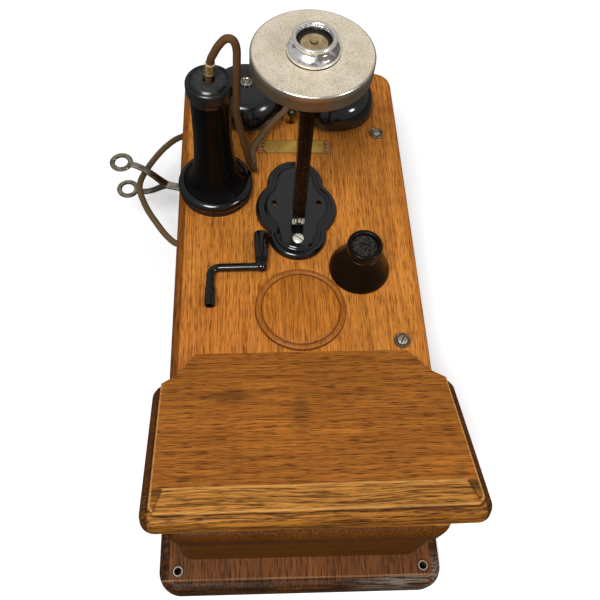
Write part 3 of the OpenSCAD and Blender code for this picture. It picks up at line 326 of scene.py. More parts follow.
def oakColour(look, shader, place, **changed):
    turned = stretched(place, turn=look.get("turn", (0, 0, 0)), shift=look.get("shift", (0, 0, 0)))
    inputs = {
        "Vector": stretched(turned, look["size"]), "Light": look["light"], "Dark": look["dark"],
        "Streaks": look["streaks"], "Pores": look["pores"], "Waviness": look["waves"],
    }
    inputs.update(changed)
    grain = useGroup(place.tree, oakGrain, inputs)
    dress(shader, rough=grain["Roughness"])
    dent(shader, grain["Height"], 0.00025)
    return grain["Color"]


def makePlainOak(name):
    look, shader, place = oakBase(name)
    dress(shader, colour=oakColour(look, shader, place))


boardEdge = {
    "half": (0.1085, 0.2445), "line": 0.0012, "shade": (0.62, 0.62, 0.52, 1), "dark": (0.2, 0.2, 0.16, 1),
    "rubbed": (0.17, 0.145, 0.115, 1), "from": 0.03, "below": -0.235, "pale": (0.3, 0.17, 0.08, 1),
}


def makeBoardOak():  # darker on its rounded edge, rubbed grey at the bottom right
    look, shader, place = oakBase("oakBoard")
    colour = oakColour(look, shader, place)
    x, y = axes(place)[:2]
    overX = abs(x) - boardEdge["half"][0]
    overY = abs(y) - boardEdge["half"][1]
    edge = ramp(overX.most(overY), -0.0002, 0.0008)
    streak = noise(stretched(place, (22, 300, 420)), 1.0, 3, 0.6)
    colour = shaded(edge, colour, tint(ramp(streak, 0.4, 0.62), boardEdge["shade"], boardEdge["dark"]))
    right, below = boardEdge["from"], boardEdge["below"]
    rubbed = edge * ramp(x, right, right + 0.05) * ramp(y, below, below + 0.01, 1, 0)
    rubbed = rubbed * ramp(noise(stretched(place, (45, 700, 900)), 1.0, 2), 0.44, 0.56)
    colour = tint(rubbed * 0.8, colour, boardEdge["rubbed"])
    line = between(overY, -boardEdge["line"], 0.0, 0.0003) * ramp(streak, 0.3, 0.6, 0.2, 0.7)
    dress(shader, colour=tint(line, colour, boardEdge["pale"]))


# colours multiplied in as painted shade, on the lower left of the panel and on the moulded edge
doorPaintedShade = {
    "half": (0.098, 0.223), "soft": 0.0006, "left": (0.52, 0.47, 0.39, 1), "right": (0.95, 0.9, 0.85, 1),
    "below": (0.21, 0.175, 0.06, 1), "lower": (0.84, 0.78, 0.78, 1),
}


def makeDoorOak():  # painted shade: darker at the lower left of the panel, and on every face of the moulded edge, darkest on the edge below
    look, shader, place = oakBase("oakDoor")
    colour = oakColour(look, shader, place)
    x, y = axes(place)[:2]
    # painted shade over the lower left of the panel
    lower = ramp(x, -0.06, 0.0, 1, 0) * ramp(y, -0.06, -0.005, 1, 0)
    colour = shaded(lower, colour, doorPaintedShade["lower"])
    wide, tall = doorPaintedShade["half"]
    soft = doorPaintedShade["soft"]
    # painted shade on each face of the moulded edge; the top edge takes the right edge's shade
    sides = ((-x, wide, "left"), (x, wide, "right"), (-y, tall, "below"), (y, tall, "right"))
    for way, reach, shade in sides:
        colour = shaded(ramp(way, reach - soft, reach + soft), colour, doorPaintedShade[shade])
    dress(shader, colour=colour)


shelfLook = {
    "turn": math.radians(0.7), "slope": math.radians(21), "place": (0.0003, -0.087, 0.122),
    "chamfer": (0.1245, 0.1415), "half": 0.1165, "nose": 0.0065, "bend": 0.006,
    "frontLight": (0.57, 0.24, 0.042, 1), "frontDark": (0.12, 0.04, 0.006, 1), "frontPores": 0.9,
    # the flank, quirk and stop colours are painted shade
    "frontStreaks": 0.75, "flankShade": (0.3, 0.27, 0.24, 1), "rubbed": (0.66, 0.33, 0.09, 1),
    "quirk": (0.03, 0.01, 0.0025, 1), "nosing": (0.72, 0.65, 0.38, 1), "stopShade": (0.06, 0.02, 0.005, 1),
    "stain": (0.1, 0.032, 0.006, 1),
    # middle across and along, reach across and along, strength
    "stains": ((-0.057, 0.045, 0.02, 0.008, 0.62), (-0.006, 0.063, 0.009, 0.024, 0.42)),
}


def makeShelfOak():  # painted shade on the flanks, in the quirk under the nose and on the ends of the chamfer stops; an open grained chamfer and nosing, an old stain
    look, shader, place = oakBase("oakShelf")
    moved = stretched(place, shift=tuple(-v for v in shelfLook["place"]))
    turned = stretched(moved, turn=(0, 0, -shelfLook["turn"]))
    lying = stretched(turned, turn=(shelfLook["slope"], 0, 0))
    across, back = axes(lying)[:2]
    along, side = -back, abs(across)
    start, end = shelfLook["chamfer"]
    inner, bend = shelfLook["half"] - shelfLook["nose"], shelfLook["bend"]
    front = ramp(along, start - 0.0006, start + 0.0006)
    overX = (side - (inner - bend)).most(0.0)
    overY = (along - (end - bend)).most(0.0)
    corner = (overX * overX + overY * overY).calc("SQRT")
    colour = oakColour(
        look, shader, lying,
        Light=tint(front, look["light"], shelfLook["frontLight"]),
        Dark=tint(front, look["dark"], shelfLook["frontDark"]),
        Pores=ramp(front, 0, 1, look["pores"], shelfLook["frontPores"]),
        Streaks=ramp(front, 0, 1, look["streaks"], shelfLook["frontStreaks"]),
    )
    # painted shade on the flanks
    colour = shaded(ramp(side, inner - 0.0002, inner + 0.0008), colour, shelfLook["flankShade"])
    broken = ramp(noise(stretched(lying, (60, 500, 500)), 1.0, 2), 0.3, 0.55, 0.45, 1.0)
    top = between(along, start - 0.0008, start + 0.0008, 0.0004)
    top = top * ramp(side, inner - 0.008, inner - 0.007, 1, 0)
    edge = top.most(between(corner, bend - 0.0012, bend + 0.0002, 0.0004))
    colour = tint(edge * broken * 0.7, colour, shelfLook["rubbed"])
    # painted shade in the quirk under the nose, broken by noise
    below = between(corner, bend + 0.0006, bend + 0.0018, 0.0005)
    colour = tint(below * broken * 0.85, colour, shelfLook["quirk"])
    colour = shaded(ramp(along, end + 0.0006, end + 0.0016), colour, shelfLook["nosing"])
    # painted shade on the end faces of the chamfer stops, fading towards the front
    stopShade = front * ramp(side - along * 0.3, 0.0632, 0.0646) * ramp(corner, bend - 0.002, bend - 0.001, 1, 0)
    stopShade = stopShade * ramp(along, start + 0.002, start + 0.012, 0.8, 0.15)
    colour = tint(stopShade, colour, shelfLook["stopShade"])
    for x, s, wide, tall, depth in shelfLook["stains"]:
        spot = stretched(lying, (1 / wide, 1 / tall, 0), shift=(-x / wide, s / tall, 0))
        patchy = length(spot) + noise(lying, 160.0, 3) * 1.1
        colour = tint(ramp(patchy, 0.9, 1.7, depth, 0), colour, shelfLook["stain"])
    dress(shader, colour=colour)


blankLook = {
    "place": (0.8, -48.3, 122), "lines": (0.0325, 0.0378), "ring": (0.24, 0.075, 0.012, 1),
    "grooveShade": (0.07, 0.018, 0.003, 1),
}


def makeBlankOak():  # painted shade in the turned lines
    look, shader, place = oakBase("oakBlank")
    radius = fromAxis(place, blankLook["place"])
    inside, outside = blankLook["lines"]
    raised = between(radius, inside, outside, 0.0003)
    colour = tint(raised * 0.5, oakColour(look, shader, place), blankLook["ring"])
    # painted shade along both turned lines
    inner = between(radius, inside - 0.0004, inside + 0.0004, 0.0003)
    lines = inner.most(between(radius, outside - 0.0004, outside + 0.001, 0.0003))
    dress(shader, colour=tint(lines * 0.85, colour, blankLook["grooveShade"]))


finishColumns = ("base", "aged", "rough", "metal", "gloss", "marks", "dent")
finishes = {
    "japanBlack": (
        (0.0025, 0.0025, 0.0028, 1), (0.005, 0.0047, 0.0044, 1), (0.11, 0.19), 0, 0.72, 50, 0.00001),
    "cupBlack": ((0.003, 0.0022, 0.0018, 1), (0.01, 0.0045, 0.0025, 1), (0.1, 0.22), 0, 0.22, 70, 0.00003),
    "hardRubber": (
        (0.0012, 0.0012, 0.0012, 1), (0.002, 0.0018, 0.0016, 1), (0.14, 0.24), 0, 0.6, 40, 0.00002),
    "shellRubber": (
        (0.0012, 0.0011, 0.001, 1), (0.002, 0.0017, 0.0015, 1), (0.2, 0.3), 0, 0.13, 40, 0.00002),
    "crankBlack": (
        (0.0022, 0.0022, 0.0022, 1), (0.005, 0.0046, 0.0042, 1), (0.06, 0.13), 0, 0.6, 80, 0.00001),
    "hookNickel": ((0.52, 0.47, 0.38, 1), (0.2, 0.165, 0.12, 1), (0.14, 0.34), 1, 0.5, 120, 0.00006),
    "screwNickel": ((0.74, 0.7, 0.6, 1), (0.5, 0.45, 0.36, 1), (0.24, 0.4), 0.8, 0.5, 140, 0.00003),
    "drabNickel": ((0.3, 0.225, 0.14, 1), (0.13, 0.09, 0.05, 1), (0.28, 0.45), 0.7, 0.5, 160, 0.00005),
    "darkSteel": ((0.16, 0.15, 0.135, 1), (0.05, 0.045, 0.04, 1), (0.25, 0.45), 1, 0.5, 150, 0.00005),
    "agedBrass": ((0.86, 0.58, 0.2, 1), (0.56, 0.33, 0.1, 1), (0.16, 0.32), 1, 0.5, 110, 0.00004),
    "magnetRed": ((0.3, 0.035, 0.02, 1), (0.2, 0.03, 0.02, 1), (0.3, 0.45), 0, 0.38, 60, 0.00005),
    "coilWrap": ((0.04, 0.1, 0.05, 1), (0.03, 0.06, 0.03, 1), (0.5, 0.7), 0, 0.38, 150, 0.0002),
    "tinCan": ((0.55, 0.55, 0.53, 1), (0.38, 0.37, 0.35, 1), (0.35, 0.5), 1, 0.5, 50, 0.00004),
    "fibre": ((0.13, 0.06, 0.04, 1), (0.09, 0.04, 0.03, 1), (0.5, 0.65), 0, 0.38, 60, 0.0001),
}
grime = (0.55, 0.5, 0.45, 1)


def makeFinish(name):
    look = dict(zip(finishColumns, finishes[name]))
    shader, _, marks = agedMaterial(name, look)
    colour = tint(marks["Cloud"], look["base"], look["aged"])
    colour = tint(marks["Specks"] * 0.5, colour, tuple(a * b for a, b in zip(look["aged"], grime)))
    dress(shader, colour=colour, metal=look["metal"], gloss=look["gloss"], rough=dulled(marks, look))
    dent(shader, marks["Height"], look["dent"])


armLook = {
    "black": (0.003, 0.0022, 0.0018, 1), "brown": (0.008, 0.004, 0.0025, 1), "specks": (0.12, 0.08, 0.05, 1),
    # worn is the pale colour of the painted highlight round the foot
    "worn": (0.62, 0.6, 0.55, 1), "foot": (0.1352, 0.1418), "ragged": 0.004, "gloss": 0.25,
    "rough": (0.12, 0.26), "marks": 70, "dent": 0.00003,
}


def makeArmBlack():  # round the foot the lacquer is worn to the metal, and painted pale in vertical streaks as a painted highlight
    look = armLook
    shader, place, marks = agedMaterial("armBlack", look)
    colour = tint(marks["Specks"] * 0.5, tint(marks["Cloud"], look["black"], look["brown"]), look["specks"])
    patchy = axes(place)[2] + (noise(place, 400.0, 2) - 0.5) * look["ragged"]
    # painted highlight: pale vertical streaks round the foot, on lacquer worn to the metal
    foot = between(patchy, *look["foot"], 0.0006)
    streaks = ramp(noise(stretched(place, (420, 420, 60)), 1.0, 1), 0.42, 0.58)
    worn = tint(streaks, look["specks"], look["worn"])
    dress(shader, colour=tint(foot, colour, worn), metal=ramp(foot, 0, 1, 0.0, 0.6), gloss=look["gloss"],
          rough=dulled(marks, look))
    dent(shader, marks["Height"], look["dent"])


faceLook = {
    "place": (1.0, 47.63, 305.0), "polished": 0.0405, "pale": (0.75, 0.665, 0.525, 1),
    "worn": (0.645, 0.55, 0.41, 1), "specks": (0.36, 0.3, 0.21, 1), "pits": (0.24, 0.19, 0.13, 1),
    "rim": (0.78, 0.7, 0.56, 1), "rimBelow": (0.36, 0.28, 0.18, 1), "rimFoot": (0.3, 0.3035),
    "rough": (0.36, 0.5), "marks": 75, "dent": 0.00003,
}


def makeFaceNickel():  # matt and specked on the flat, still polished on the rim
    look = faceLook
    shader, place, marks = agedMaterial("faceNickel", look)
    pits = ramp(noise(place, 420.0, 1), 0.66, 0.72)
    mottle = ramp(noise(place, 780.0, 3, 0.65), 0.36, 0.64, 0.82, 1.1)
    rim = ramp(fromAxis(place, look["place"]), look["polished"], look["polished"] + 0.0008)
    flat = times(tint(marks["Cloud"], look["pale"], look["worn"]), grey(mottle))
    flat = tint(marks["Specks"] * 0.4, flat, look["specks"])
    flat = tint(pits * 0.5, flat, look["pits"])
    low = ramp(axes(place)[2], *look["rimFoot"], 1, 0)
    colour = tint(rim, flat, tint(low, look["rim"], look["rimBelow"]))
    dress(shader, colour=colour, metal=ramp(rim, 0, 1, 0.3, 1.0),
          rough=dulled(marks, look) - rim * (0.15 - low * 0.19))
    dent(shader, marks["Height"], look["dent"])


collarLook = {
    "throat": 0.0125, "depth": 0.3142, "waist": (0.3085, 0.3148), "lip": 0.3166, "pale": (1.0, 0.99, 0.97, 1),
    "worn": (0.84, 0.82, 0.78, 1), "patina": (0.12, 0.085, 0.06, 1), "lipTint": (0.8, 0.77, 0.7, 1),
    # dark is the colour of the painted shade inside the throat
    "dark": (0.006, 0.005, 0.004, 1), "thread": 7000.0, "rough": (0.14, 0.24), "marks": 90, "dent": 0.0002,
}


def makeCollarNickel():  # still bright; painted shade, dark inside the throat below its thread
    look = collarLook
    shader, place, marks = agedMaterial("collarNickel", look)
    height = axes(place)[2]
    inside = ramp(fromAxis(place, faceLook["place"]), look["throat"] - 0.0003, look["throat"], 1, 0)
    # painted shade: the throat below the thread is painted dark
    deep = inside * ramp(height, look["depth"], look["depth"] + 0.0008, 1, 0)
    patina = between(height, *look["waist"], 0.0008) * ramp(noise(place, 95.0, 3), 0.42, 0.56)
    bright = tint(patina * 0.8, tint(marks["Cloud"], look["pale"], look["worn"]), look["patina"])
    bright = tint(ramp(height, look["lip"], look["lip"] + 0.0006), bright, look["lipTint"])
    dress(shader, colour=tint(deep, bright, look["dark"]), metal=ramp(deep, 0, 1, 0.8, 0.0),
          rough=dulled(marks, look))
    dent(shader, (height * look["thread"]).calc("SINE") * inside, look["dent"])


discLook = {
    "line": (0.0022, 0.0029), "edge": 0.0086, "farShade": -1.3, "brass": (0.46, 0.36, 0.19, 1),
    "worn": (0.27, 0.19, 0.09, 1), "specks": (0.13, 0.09, 0.04, 1), "dark": (0.006, 0.005, 0.003, 1),
    "rough": (0.4, 0.55), "marks": 160, "dent": 0.00006,
}


def makeDiscBrass():  # disc at the bottom of the throat; painted shadow round its edge, reaching further in on the +Y side, and a ring of painted shade round its middle
    look = discLook
    shader, place, marks = agedMaterial("discBrass", look)
    brass = tint(marks["Specks"] * 0.5, tint(marks["Cloud"], look["brass"], look["worn"]), look["specks"])
    x, y = faceLook["place"][:2]
    # painted shadow round the edge, centred 1.3 mm towards -Y so that it reaches further in on the +Y side;
    # with it a ring of painted shade round the middle
    farShade = ramp(fromAxis(place, (x, y + look["farShade"])), look["edge"], look["edge"] + 0.0008)
    shade = (between(fromAxis(place, (x, y)), *look["line"], 0.0002) * 0.85).most(farShade)
    dress(shader, colour=tint(shade, brass, look["dark"]), metal=ramp(shade, 0, 1, 0.4, 0.0),
          rough=dulled(marks, look))
    dent(shader, marks["Height"], look["dent"])


eyeletLook = {
    "bright": (0.0031, 0.0039), "pale": (0.5, 0.44, 0.35, 1), "worn": (0.3, 0.25, 0.19, 1),
    "darkening": (0.02, 0.014, 0.01, 1), "rough": (0.3, 0.5), "marks": 200, "dent": 0.00004,
}


def makeEyelet(name):  # a thin bright ring, darker on both sides
    look = eyeletLook
    shader, place, marks = agedMaterial(name, look)
    bright = between(fromAxis(place, middle(name)), *look["bright"], 0.0002)
    worn = tint(marks["Cloud"], look["pale"], look["worn"])
    dress(shader, colour=tint(bright, look["darkening"], worn), metal=ramp(bright, 0, 1, 0.0, 0.6),
          rough=dulled(marks, look))
    dent(shader, marks["Height"], look["dent"])


# slotted screws: looks, the angle of the slot, and the form of the head and shank
doorScrew = {
    "pale": (0.5, 0.44, 0.35, 1), "worn": (0.3, 0.25, 0.18, 1), "metal": 0.6,
    "radius": 4, "dome": 8, "high": 2, "shank": 2, "cone": 0.8,
}
screwLook = {
    "base_screw": {
        "pale": (0.95, 0.92, 0.8, 1), "worn": (0.7, 0.65, 0.53, 1), "metal": 0.45,
        "radius": 4.8, "dome": 9.6, "high": 2.4, "shank": 0, "name": "baseScrew", "angle": -37,
    },
    "door_screw_1": {**doorScrew, "name": "doorScrew1", "angle": 6},
    "door_screw_2": {**doorScrew, "name": "doorScrew2", "angle": 62},
}
slotLook = {
    # darkening is the colour of the slot floors: painted shade, with dirt
    "darkening": (0.016, 0.011, 0.006, 1), "painted": 0.0005, "half": 0.45, "deep": 0.45, "clear": 5, "steps": 8,
    "rough": (0.26, 0.42), "marks": 180, "dent": 0.00003,
}


def makeScrew(node):
    look = screwLook[node]
    shader, place, marks = agedMaterial(node, slotLook)
    x, y = middle(node)[:2]
    moved = stretched(place, shift=(-x / 1000, -y / 1000, 0))
    across = axes(stretched(moved, turn=(0, 0, -math.radians(look["angle"]))))[1]
    # painted shade: the floor of the cut slot is painted dark, with dirt
    slot = between(across, -slotLook["painted"], slotLook["painted"], 0.00015)
    colour = tint(slot, tint(marks["Cloud"], look["pale"], look["worn"]), slotLook["darkening"])
    dress(shader, colour=colour, metal=ramp(slot, 0, 1, look["metal"], 0.0), rough=dulled(marks, slotLook))
    dent(shader, marks["Height"], slotLook["dent"])


ferruleLook = {
    "flats": 3.0, "edge": 0.0009, "gilt": (0.5, 0.29, 0.06, 1), "worn": (0.26, 0.13, 0.025, 1),
    # bright is the colour of the painted highlights
    "bright": (1.0, 0.86, 0.58, 1), "metal": 0.55, "rough": (0.16, 0.3), "marks": 260, "dent": 0.0002,
}


def makeFerrule():  # crimped: gilt flats, with painted highlights along the crimp edges and round both ends
    look = ferruleLook
    shader, place, marks = agedMaterial("giltFerrule", look)
    low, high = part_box("cord_ferrule")
    x, y, z = axes(stretched(place, shift=tuple(-(a + b) / 2 for a, b in zip(low, high))))
    # painted highlight: bright lines along the crimp edges and round both ends, which also drive the bump
    ridge = ramp(abs((y.calc("ARCTAN2", x) * look["flats"]).calc("SINE")), 0.02, 0.3, 1, 0)
    reach = (high[2] - low[2]) / 2
    ends = ramp(abs(z), reach - 2 * look["edge"], reach - look["edge"])
    colour = tint(ridge.most(ends), tint(marks["Cloud"], look["gilt"], look["worn"]), look["bright"])
    dress(shader, colour=colour, metal=look["metal"], rough=dulled(marks, look))
    dent(shader, ridge + marks["Height"], look["dent"])


# dusty ends of black pieces: grey and dull within a circle, above a height
dustLook = {
    "tailRubber": {
        "base": (0.005, 0.005, 0.0048, 1), "aged": (0.013, 0.0125, 0.012, 1),
        "pale": (0.036, 0.037, 0.034, 1), "axis": (-71, 77), "reach": 0.0122, "soft": 0.0022, "above": 0.2495,
        "gloss": 0.5, "rough": (0.14, 0.28), "marks": 90, "dent": 0.00006,
    },
    "mouthBlack": {
        "base": (0.003, 0.0014, 0.0005, 1), "aged": (0.005, 0.0024, 0.0008, 1),
        "pale": (0.036, 0.034, 0.03, 1), "axis": (52.5, -9.2), "reach": 0.0103, "soft": 0.0004, "above": 0.15,
        "gloss": 0.18, "rough": (0.24, 0.36), "marks": 45, "dent": 0.00006,
    },
}


def makeDusty(name):
    look = dustLook[name]
    shader, place, marks = agedMaterial(name, look)
    reach, soft, above = look["reach"], look["soft"], look["above"]
    within = ramp(fromAxis(place, look["axis"]), reach - soft, reach + soft, 1, 0)
    dusty = within * ramp(axes(place)[2], above - 0.0004, above + 0.0004)
    grain = dusty * ramp(noise(place, 520.0, 2, 0.6), 0.4, 0.62, 0.1, 1.0)
    colour = tint(grain, tint(marks["Cloud"], look["base"], look["aged"]), look["pale"])
    dress(shader, colour=colour, rough=dulled(marks, look) + dusty * 0.3, gloss=look["gloss"])
    dent(shader, marks["Height"] + grain, look["dent"])


# braided cotton on the cord, along its own UV map: U round it and V along it in metres
braidLook = {
    "dropBraid": {"deep": (0.01, 0.005, 0.002, 1), "pale": (0.135, 0.064, 0.02, 1)},
    "caseBraid": {"deep": (0.016, 0.01, 0.005, 1), "pale": (0.15, 0.092, 0.042, 1)},
}
braidForm = {"strands": 8.0, "pitch": 560.0, "dent": 0.0003, "rough": 0.72, "gloss": 0.2}


def makeBraid(name):
    shader, place = newMaterial(name)
    around, along = axes(addNode(place.tree, "ShaderNodeUVMap", uv_map="braid"))[:2]
    turns, pitch = around * braidForm["strands"], along * braidForm["pitch"]
    one, two = ((way.calc("FRACT") * math.pi).calc("SINE") for way in (turns + pitch, turns - pitch))
    over = one.most(two)
    shade = ramp(over, 0.45, 1.0, 0.55, 1.0) * ramp(noise(place, 40.0, 3), 0.3, 0.7, 0.75, 1.1)
    dress(shader, colour=tint(shade, braidLook[name]["deep"], braidLook[name]["pale"]),
          rough=braidForm["rough"], gloss=braidForm["gloss"])
    dent(shader, over, braidForm["dent"])


plateLook = {
    "place": (0.002, 0.1265), "half": (0.035, 0.008), "ends": 0.0318, "bulge": 40.0, "hatch": 1400.0,
    "gilt": (0.52, 0.33, 0.055, 1), "worn": (0.36, 0.21, 0.032, 1), "red": (0.36, 0.12, 0.07, 1),
    "stripes": (0.05, 0.02, 0.012, 1), "border": (0.2, 0.05, 0.015, 1),
    "rough": (0.3, 0.45), "marks": 120, "dent": 0.00003,
}


def makeGiltPlate():  # bare gilt plate with a thin red border and striped red ends
    look = plateLook
    shader, place, marks = agedMaterial("giltPlate", look)
    x, y = axes(stretched(place, shift=(-look["place"][0], -look["place"][1], 0)))[:2]
    farX, farY = abs(x), abs(y)
    slant = farX + farY * farY * look["bulge"]
    end, (halfX, halfY) = look["ends"], look["half"]
    ends = ramp(slant, end, end + 0.0005)
    hatch = ramp(((x * 0.7 + y) * look["hatch"]).calc("SINE"), -0.2, 0.2)
    stripes = between(slant, end - 0.0034, end - 0.0002, 0.0003) * hatch
    border = ramp(farX, halfX - 0.0011, halfX - 0.0008).most(ramp(farY, halfY - 0.0011, halfY - 0.0008))
    colour = tint(ends, tint(marks["Cloud"], look["gilt"], look["worn"]), look["red"])
    colour = tint(stripes * 0.8, colour, look["stripes"])
    colour = tint(border * 0.7, colour, look["border"])
    dress(shader, colour=colour, metal=ramp(ends.most(border), 0, 1, 0.35, 0.0), rough=dulled(marks, look))
    dent(shader, marks["Height"], look["dent"])


eyelets = ["eyelet_%d" % number for number in range(1, 5)]
for make, names in ((makePlainOak, ("oakSides", "oakEnds")), (makeFinish, finishes), (makeEyelet, eyelets),
                    (makeScrew, screwLook), (makeDusty, dustLook), (makeBraid, braidLook)):
    for name in names:
        make(name)
for make in (makeDoorOak, makeBoardOak, makeShelfOak, makeBlankOak, makeArmBlack, makeFaceNickel,
             makeCollarNickel, makeDiscBrass, makeGiltPlate, makeFerrule):
    make()
print("materials made:", len(materials))


def smooth(points, count):  # smooth line through points; count gives the steps of a stretch
    ends = [points[0] * 2 - points[1], *points, points[-1] * 2 - points[-2]]
    line = []
    for a, b, c, d in zip(ends, ends[1:], ends[2:], ends[3:]):
        steps = count(c - b)
        for t in (k / steps for k in range(steps)):
            line.append(0.5 * (2 * b + (c - a) * t + (2 * a - 5 * b + 4 * c - d) * t ** 2
                               + (3 * b - a - 3 * c + d) * t ** 3))
    return line + [points[-1]]


# pieces built from rings of points
def addRing(form, point, radius, one, two, sides):
    turns = (math.tau * k / sides for k in range(sides))
    return [form.verts.new(point + radius * (math.cos(a) * one + math.sin(a) * two)) for a in turns]


def skin(form, rings):  # faces from ring to ring, closed at both ends
    sides = len(rings[0])
    faces = {}
    for i, (one, two) in enumerate(zip(rings, rings[1:])):
        for k in range(sides):
            after = (k + 1) % sides
            faces[i, k] = form.faces.new((one[k], one[after], two[after], two[k]))
    form.faces.new(list(reversed(rings[0])))
    form.faces.new(rings[-1])
    return faces


def fromForm(name, form):
    mesh = bpy.data.meshes.new(name)
    form.to_mesh(mesh)
    form.free()
    return addObject(name, mesh)


def headings(line):
    last = len(line) - 1
    return [(line[min(i + 1, last)] - line[max(i - 1, 0)]).normalized() for i in range(last + 1)]


# cord: a limp braided lead from the receiver to the door, and on round the corner into the case
cordLook = {"diameter": 0.006, "sides": 20, "step": 0.0016}
dropRoute = [
    (-71, 77, 248.5), (-71, 77, 256), (-69, 77, 270), (-66.5, 77, 276), (-63.5, 77, 282), (-59, 77, 288),
    (-55.5, 76.5, 290), (-52, 75.5, 289), (-50, 74, 283), (-50, 72, 272), (-50.5, 70, 250), (-50.5, 70, 237),
    (-51, 70, 226), (-47.5, 72, 200), (-43, 76, 173), (-40.5, 82, 153), (-37.9, 86.8, 141),
    (-36.4, 91.5, 131.8), (-36.7, 95.4, 127.3), (-37, 98.8, 125.7), (-37, 102, 125.5),
]
caseRoute = [
    (-37, 102, 125.5), (-37.2, 106.2, 125.5), (-37.7, 110.5, 125.6), (-38, 115.5, 126), (-36.5, 121.5, 128),
    (-30.5, 130.5, 131), (-22, 138.5, 137), (-14, 146, 141), (-6, 153.5, 144), (-1, 166, 147), (0, 182, 147),
    (0, 198, 144), (0, 213, 138), (0, 226, 130), (0, 236, 123), (0, 241, 116), (0, 241, 110), (0, 241, 102),
    (-3, 243, 88), (-10, 243, 72), (-20, 243, 56), (-33, 243, 40), (-48, 243, 29), (-64, 243, 24),
    (-82, 242, 24), (-96, 238, 25), (-104, 230, 30), (-107, 219, 39), (-107, 207, 51), (-107, 195, 64),
    (-109, 183, 74), (-117, 173, 79), (-127, 161, 80), (-136, 147, 80), (-143, 133, 80), (-148, 119, 80),
    (-148, 107, 80), (-144, 95, 80), (-138, 82, 80), (-130, 69, 80), (-122, 57, 80), (-115, 49, 80),
    (-110, 45, 80), (-105, 45, 80),
]


def makeCord(name, route, finish):
    step, sides = cordLook["step"], cordLook["sides"]
    line = smooth([Vector(p) / 1000 for p in route], lambda stretch: max(1, round(stretch.length / step)))
    form = bmesh.new()
    wrap = form.loops.layers.uv.new("braid")
    rings, along = [], [0.0]
    normal = Vector((0, 1, 0)) if abs((line[1] - line[0]).normalized().y) < 0.9 else Vector((1, 0, 0))
    for point, ahead in zip(line, headings(line)):
        normal = (normal - ahead * normal.dot(ahead)).normalized()
        rings.append(addRing(form, point, cordLook["diameter"] / 2, normal, ahead.cross(normal), sides))
    for here, there in zip(line, line[1:]):
        along.append(along[-1] + (there - here).length)
    for (i, k), face in skin(form, rings).items():
        face.smooth = True
        for loop, (r, s) in zip(face.loops, ((i, k), (i, k + 1), (i + 1, k + 1), (i + 1, k))):
            loop[wrap].uv = (s / sides, along[r])
    cord = fromForm(name, form)
    cord.data.materials.append(materials[finish])
    return cord, line, along[-1]


receiverCord, dropLine, dropLength = makeCord("receiverCord", dropRoute, "dropBraid")
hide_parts("receiver_cord")
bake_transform(receiverCord)
caseCord, caseLine, caseLength = makeCord("caseCord", caseRoute, "caseBraid")
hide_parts("cord_run", "cord_loop")
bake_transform(caseCord)
print("cords laid:", round(dropLength, 3), round(caseLength, 3))

# finishes of the solid nodes that no piece replaces
nodeFinish = {
    "oakDoor": ["door_panel"],
    "oakBoard": ["backboard"],
    "oakSides": ["left_wall", "right_wall"],
    "oakEnds": ["top_wall", "bottom_wall"],
    "armBlack": ["arm"],
    "cupBlack": ["transmitter_cup", "arm_pin"],
    "screwNickel": ["drive_bushing"],
    "darkSteel": ["ringer_frame", "clapper", "hook_bracket", "drive_shaft", "armature", "receiver_diaphragm"],
    "agedBrass": ["case_leaf_1", "case_leaf_2", "door_leaf_1", "door_leaf_2", "magneto_frame",
                  "contact_springs", "cord_grommet"],
    "discBrass": ["diaphragm"],
    "giltFerrule": ["cord_ferrule"],
    "giltPlate": ["nameplate"],
    "magnetRed": ["magnets"],
    "coilWrap": ["induction_coil", "ringer_coil_1", "ringer_coil_2"],
    "tinCan": ["condenser"],
    "fibre": ["terminal_block"],
}
nodeFinish.update({name: [name] for name in eyelets})
for finish, names in nodeFinish.items():
    for name in names:
        nodes[name].data.materials.clear()
        nodes[name].data.materials.append(materials[finish])
print("solid nodes finished")


# steps that the modelled pieces share
def pick(*pieces):  # the first one becomes the active one
    bpy.ops.object.select_all(action="DESELECT")
    for piece in pieces:
        piece.select_set(True)
    bpy.context.view_layer.objects.active = pieces[0]


def startEdit():
    bpy.ops.object.mode_set(mode="EDIT")
    bpy.ops.mesh.select_all(action="SELECT")


def endEdit(merge=None):  # points closer than merge are joined, and faces turned outwards
    bpy.ops.mesh.select_all(action="SELECT")
    if merge:
        bpy.ops.mesh.remove_doubles(threshold=merge)
    bpy.ops.mesh.normals_make_consistent(inside=False)
    bpy.ops.object.mode_set(mode="OBJECT")


def closeUp(piece, sharp):
    pick(piece)
    startEdit()
    endEdit(0.000004)
    bpy.ops.object.shade_smooth_by_angle(angle=math.radians(sharp))


def finishPiece(piece, finish, body, slot, *names):
    piece.data.materials.append(materials[finish])
    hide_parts(*names)
    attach(piece, body)


# turned pieces: one point is drawn out along half of the section and spun round its axis
def turnPiece(name, section, centre, steps=96, sharp=32):
    bpy.ops.object.select_all(action="DESELECT")
    bpy.ops.mesh.primitive_plane_add(size=0.001, location=(0, 0, 0))
    piece = bpy.context.object
    piece.name = piece.data.name = name
    startEdit()
    bpy.ops.mesh.merge(type="CENTER")
    x, y, z = (v / 1000 for v in centre)
    points = [Vector((x + r / 1000, y, z + h / 1000)) for r, h in section]
    bpy.ops.transform.translate(value=points[0])
    for here, there in zip(points, points[1:]):
        bpy.ops.mesh.extrude_region_move(TRANSFORM_OT_translate={"value": there - here})
    bpy.ops.mesh.select_all(action="SELECT")
    bpy.ops.mesh.spin(steps=steps, angle=math.tau, center=(x, y, z), axis=(0, 0, 1))
    endEdit(0.000002)
    bpy.ops.object.shade_smooth_by_angle(angle=math.radians(sharp))
    return piece


def drawn(points, count=5):  # smooth line through a few points of a section
    return [tuple(p) for p in smooth([Vector(p) for p in points], lambda stretch: count)]


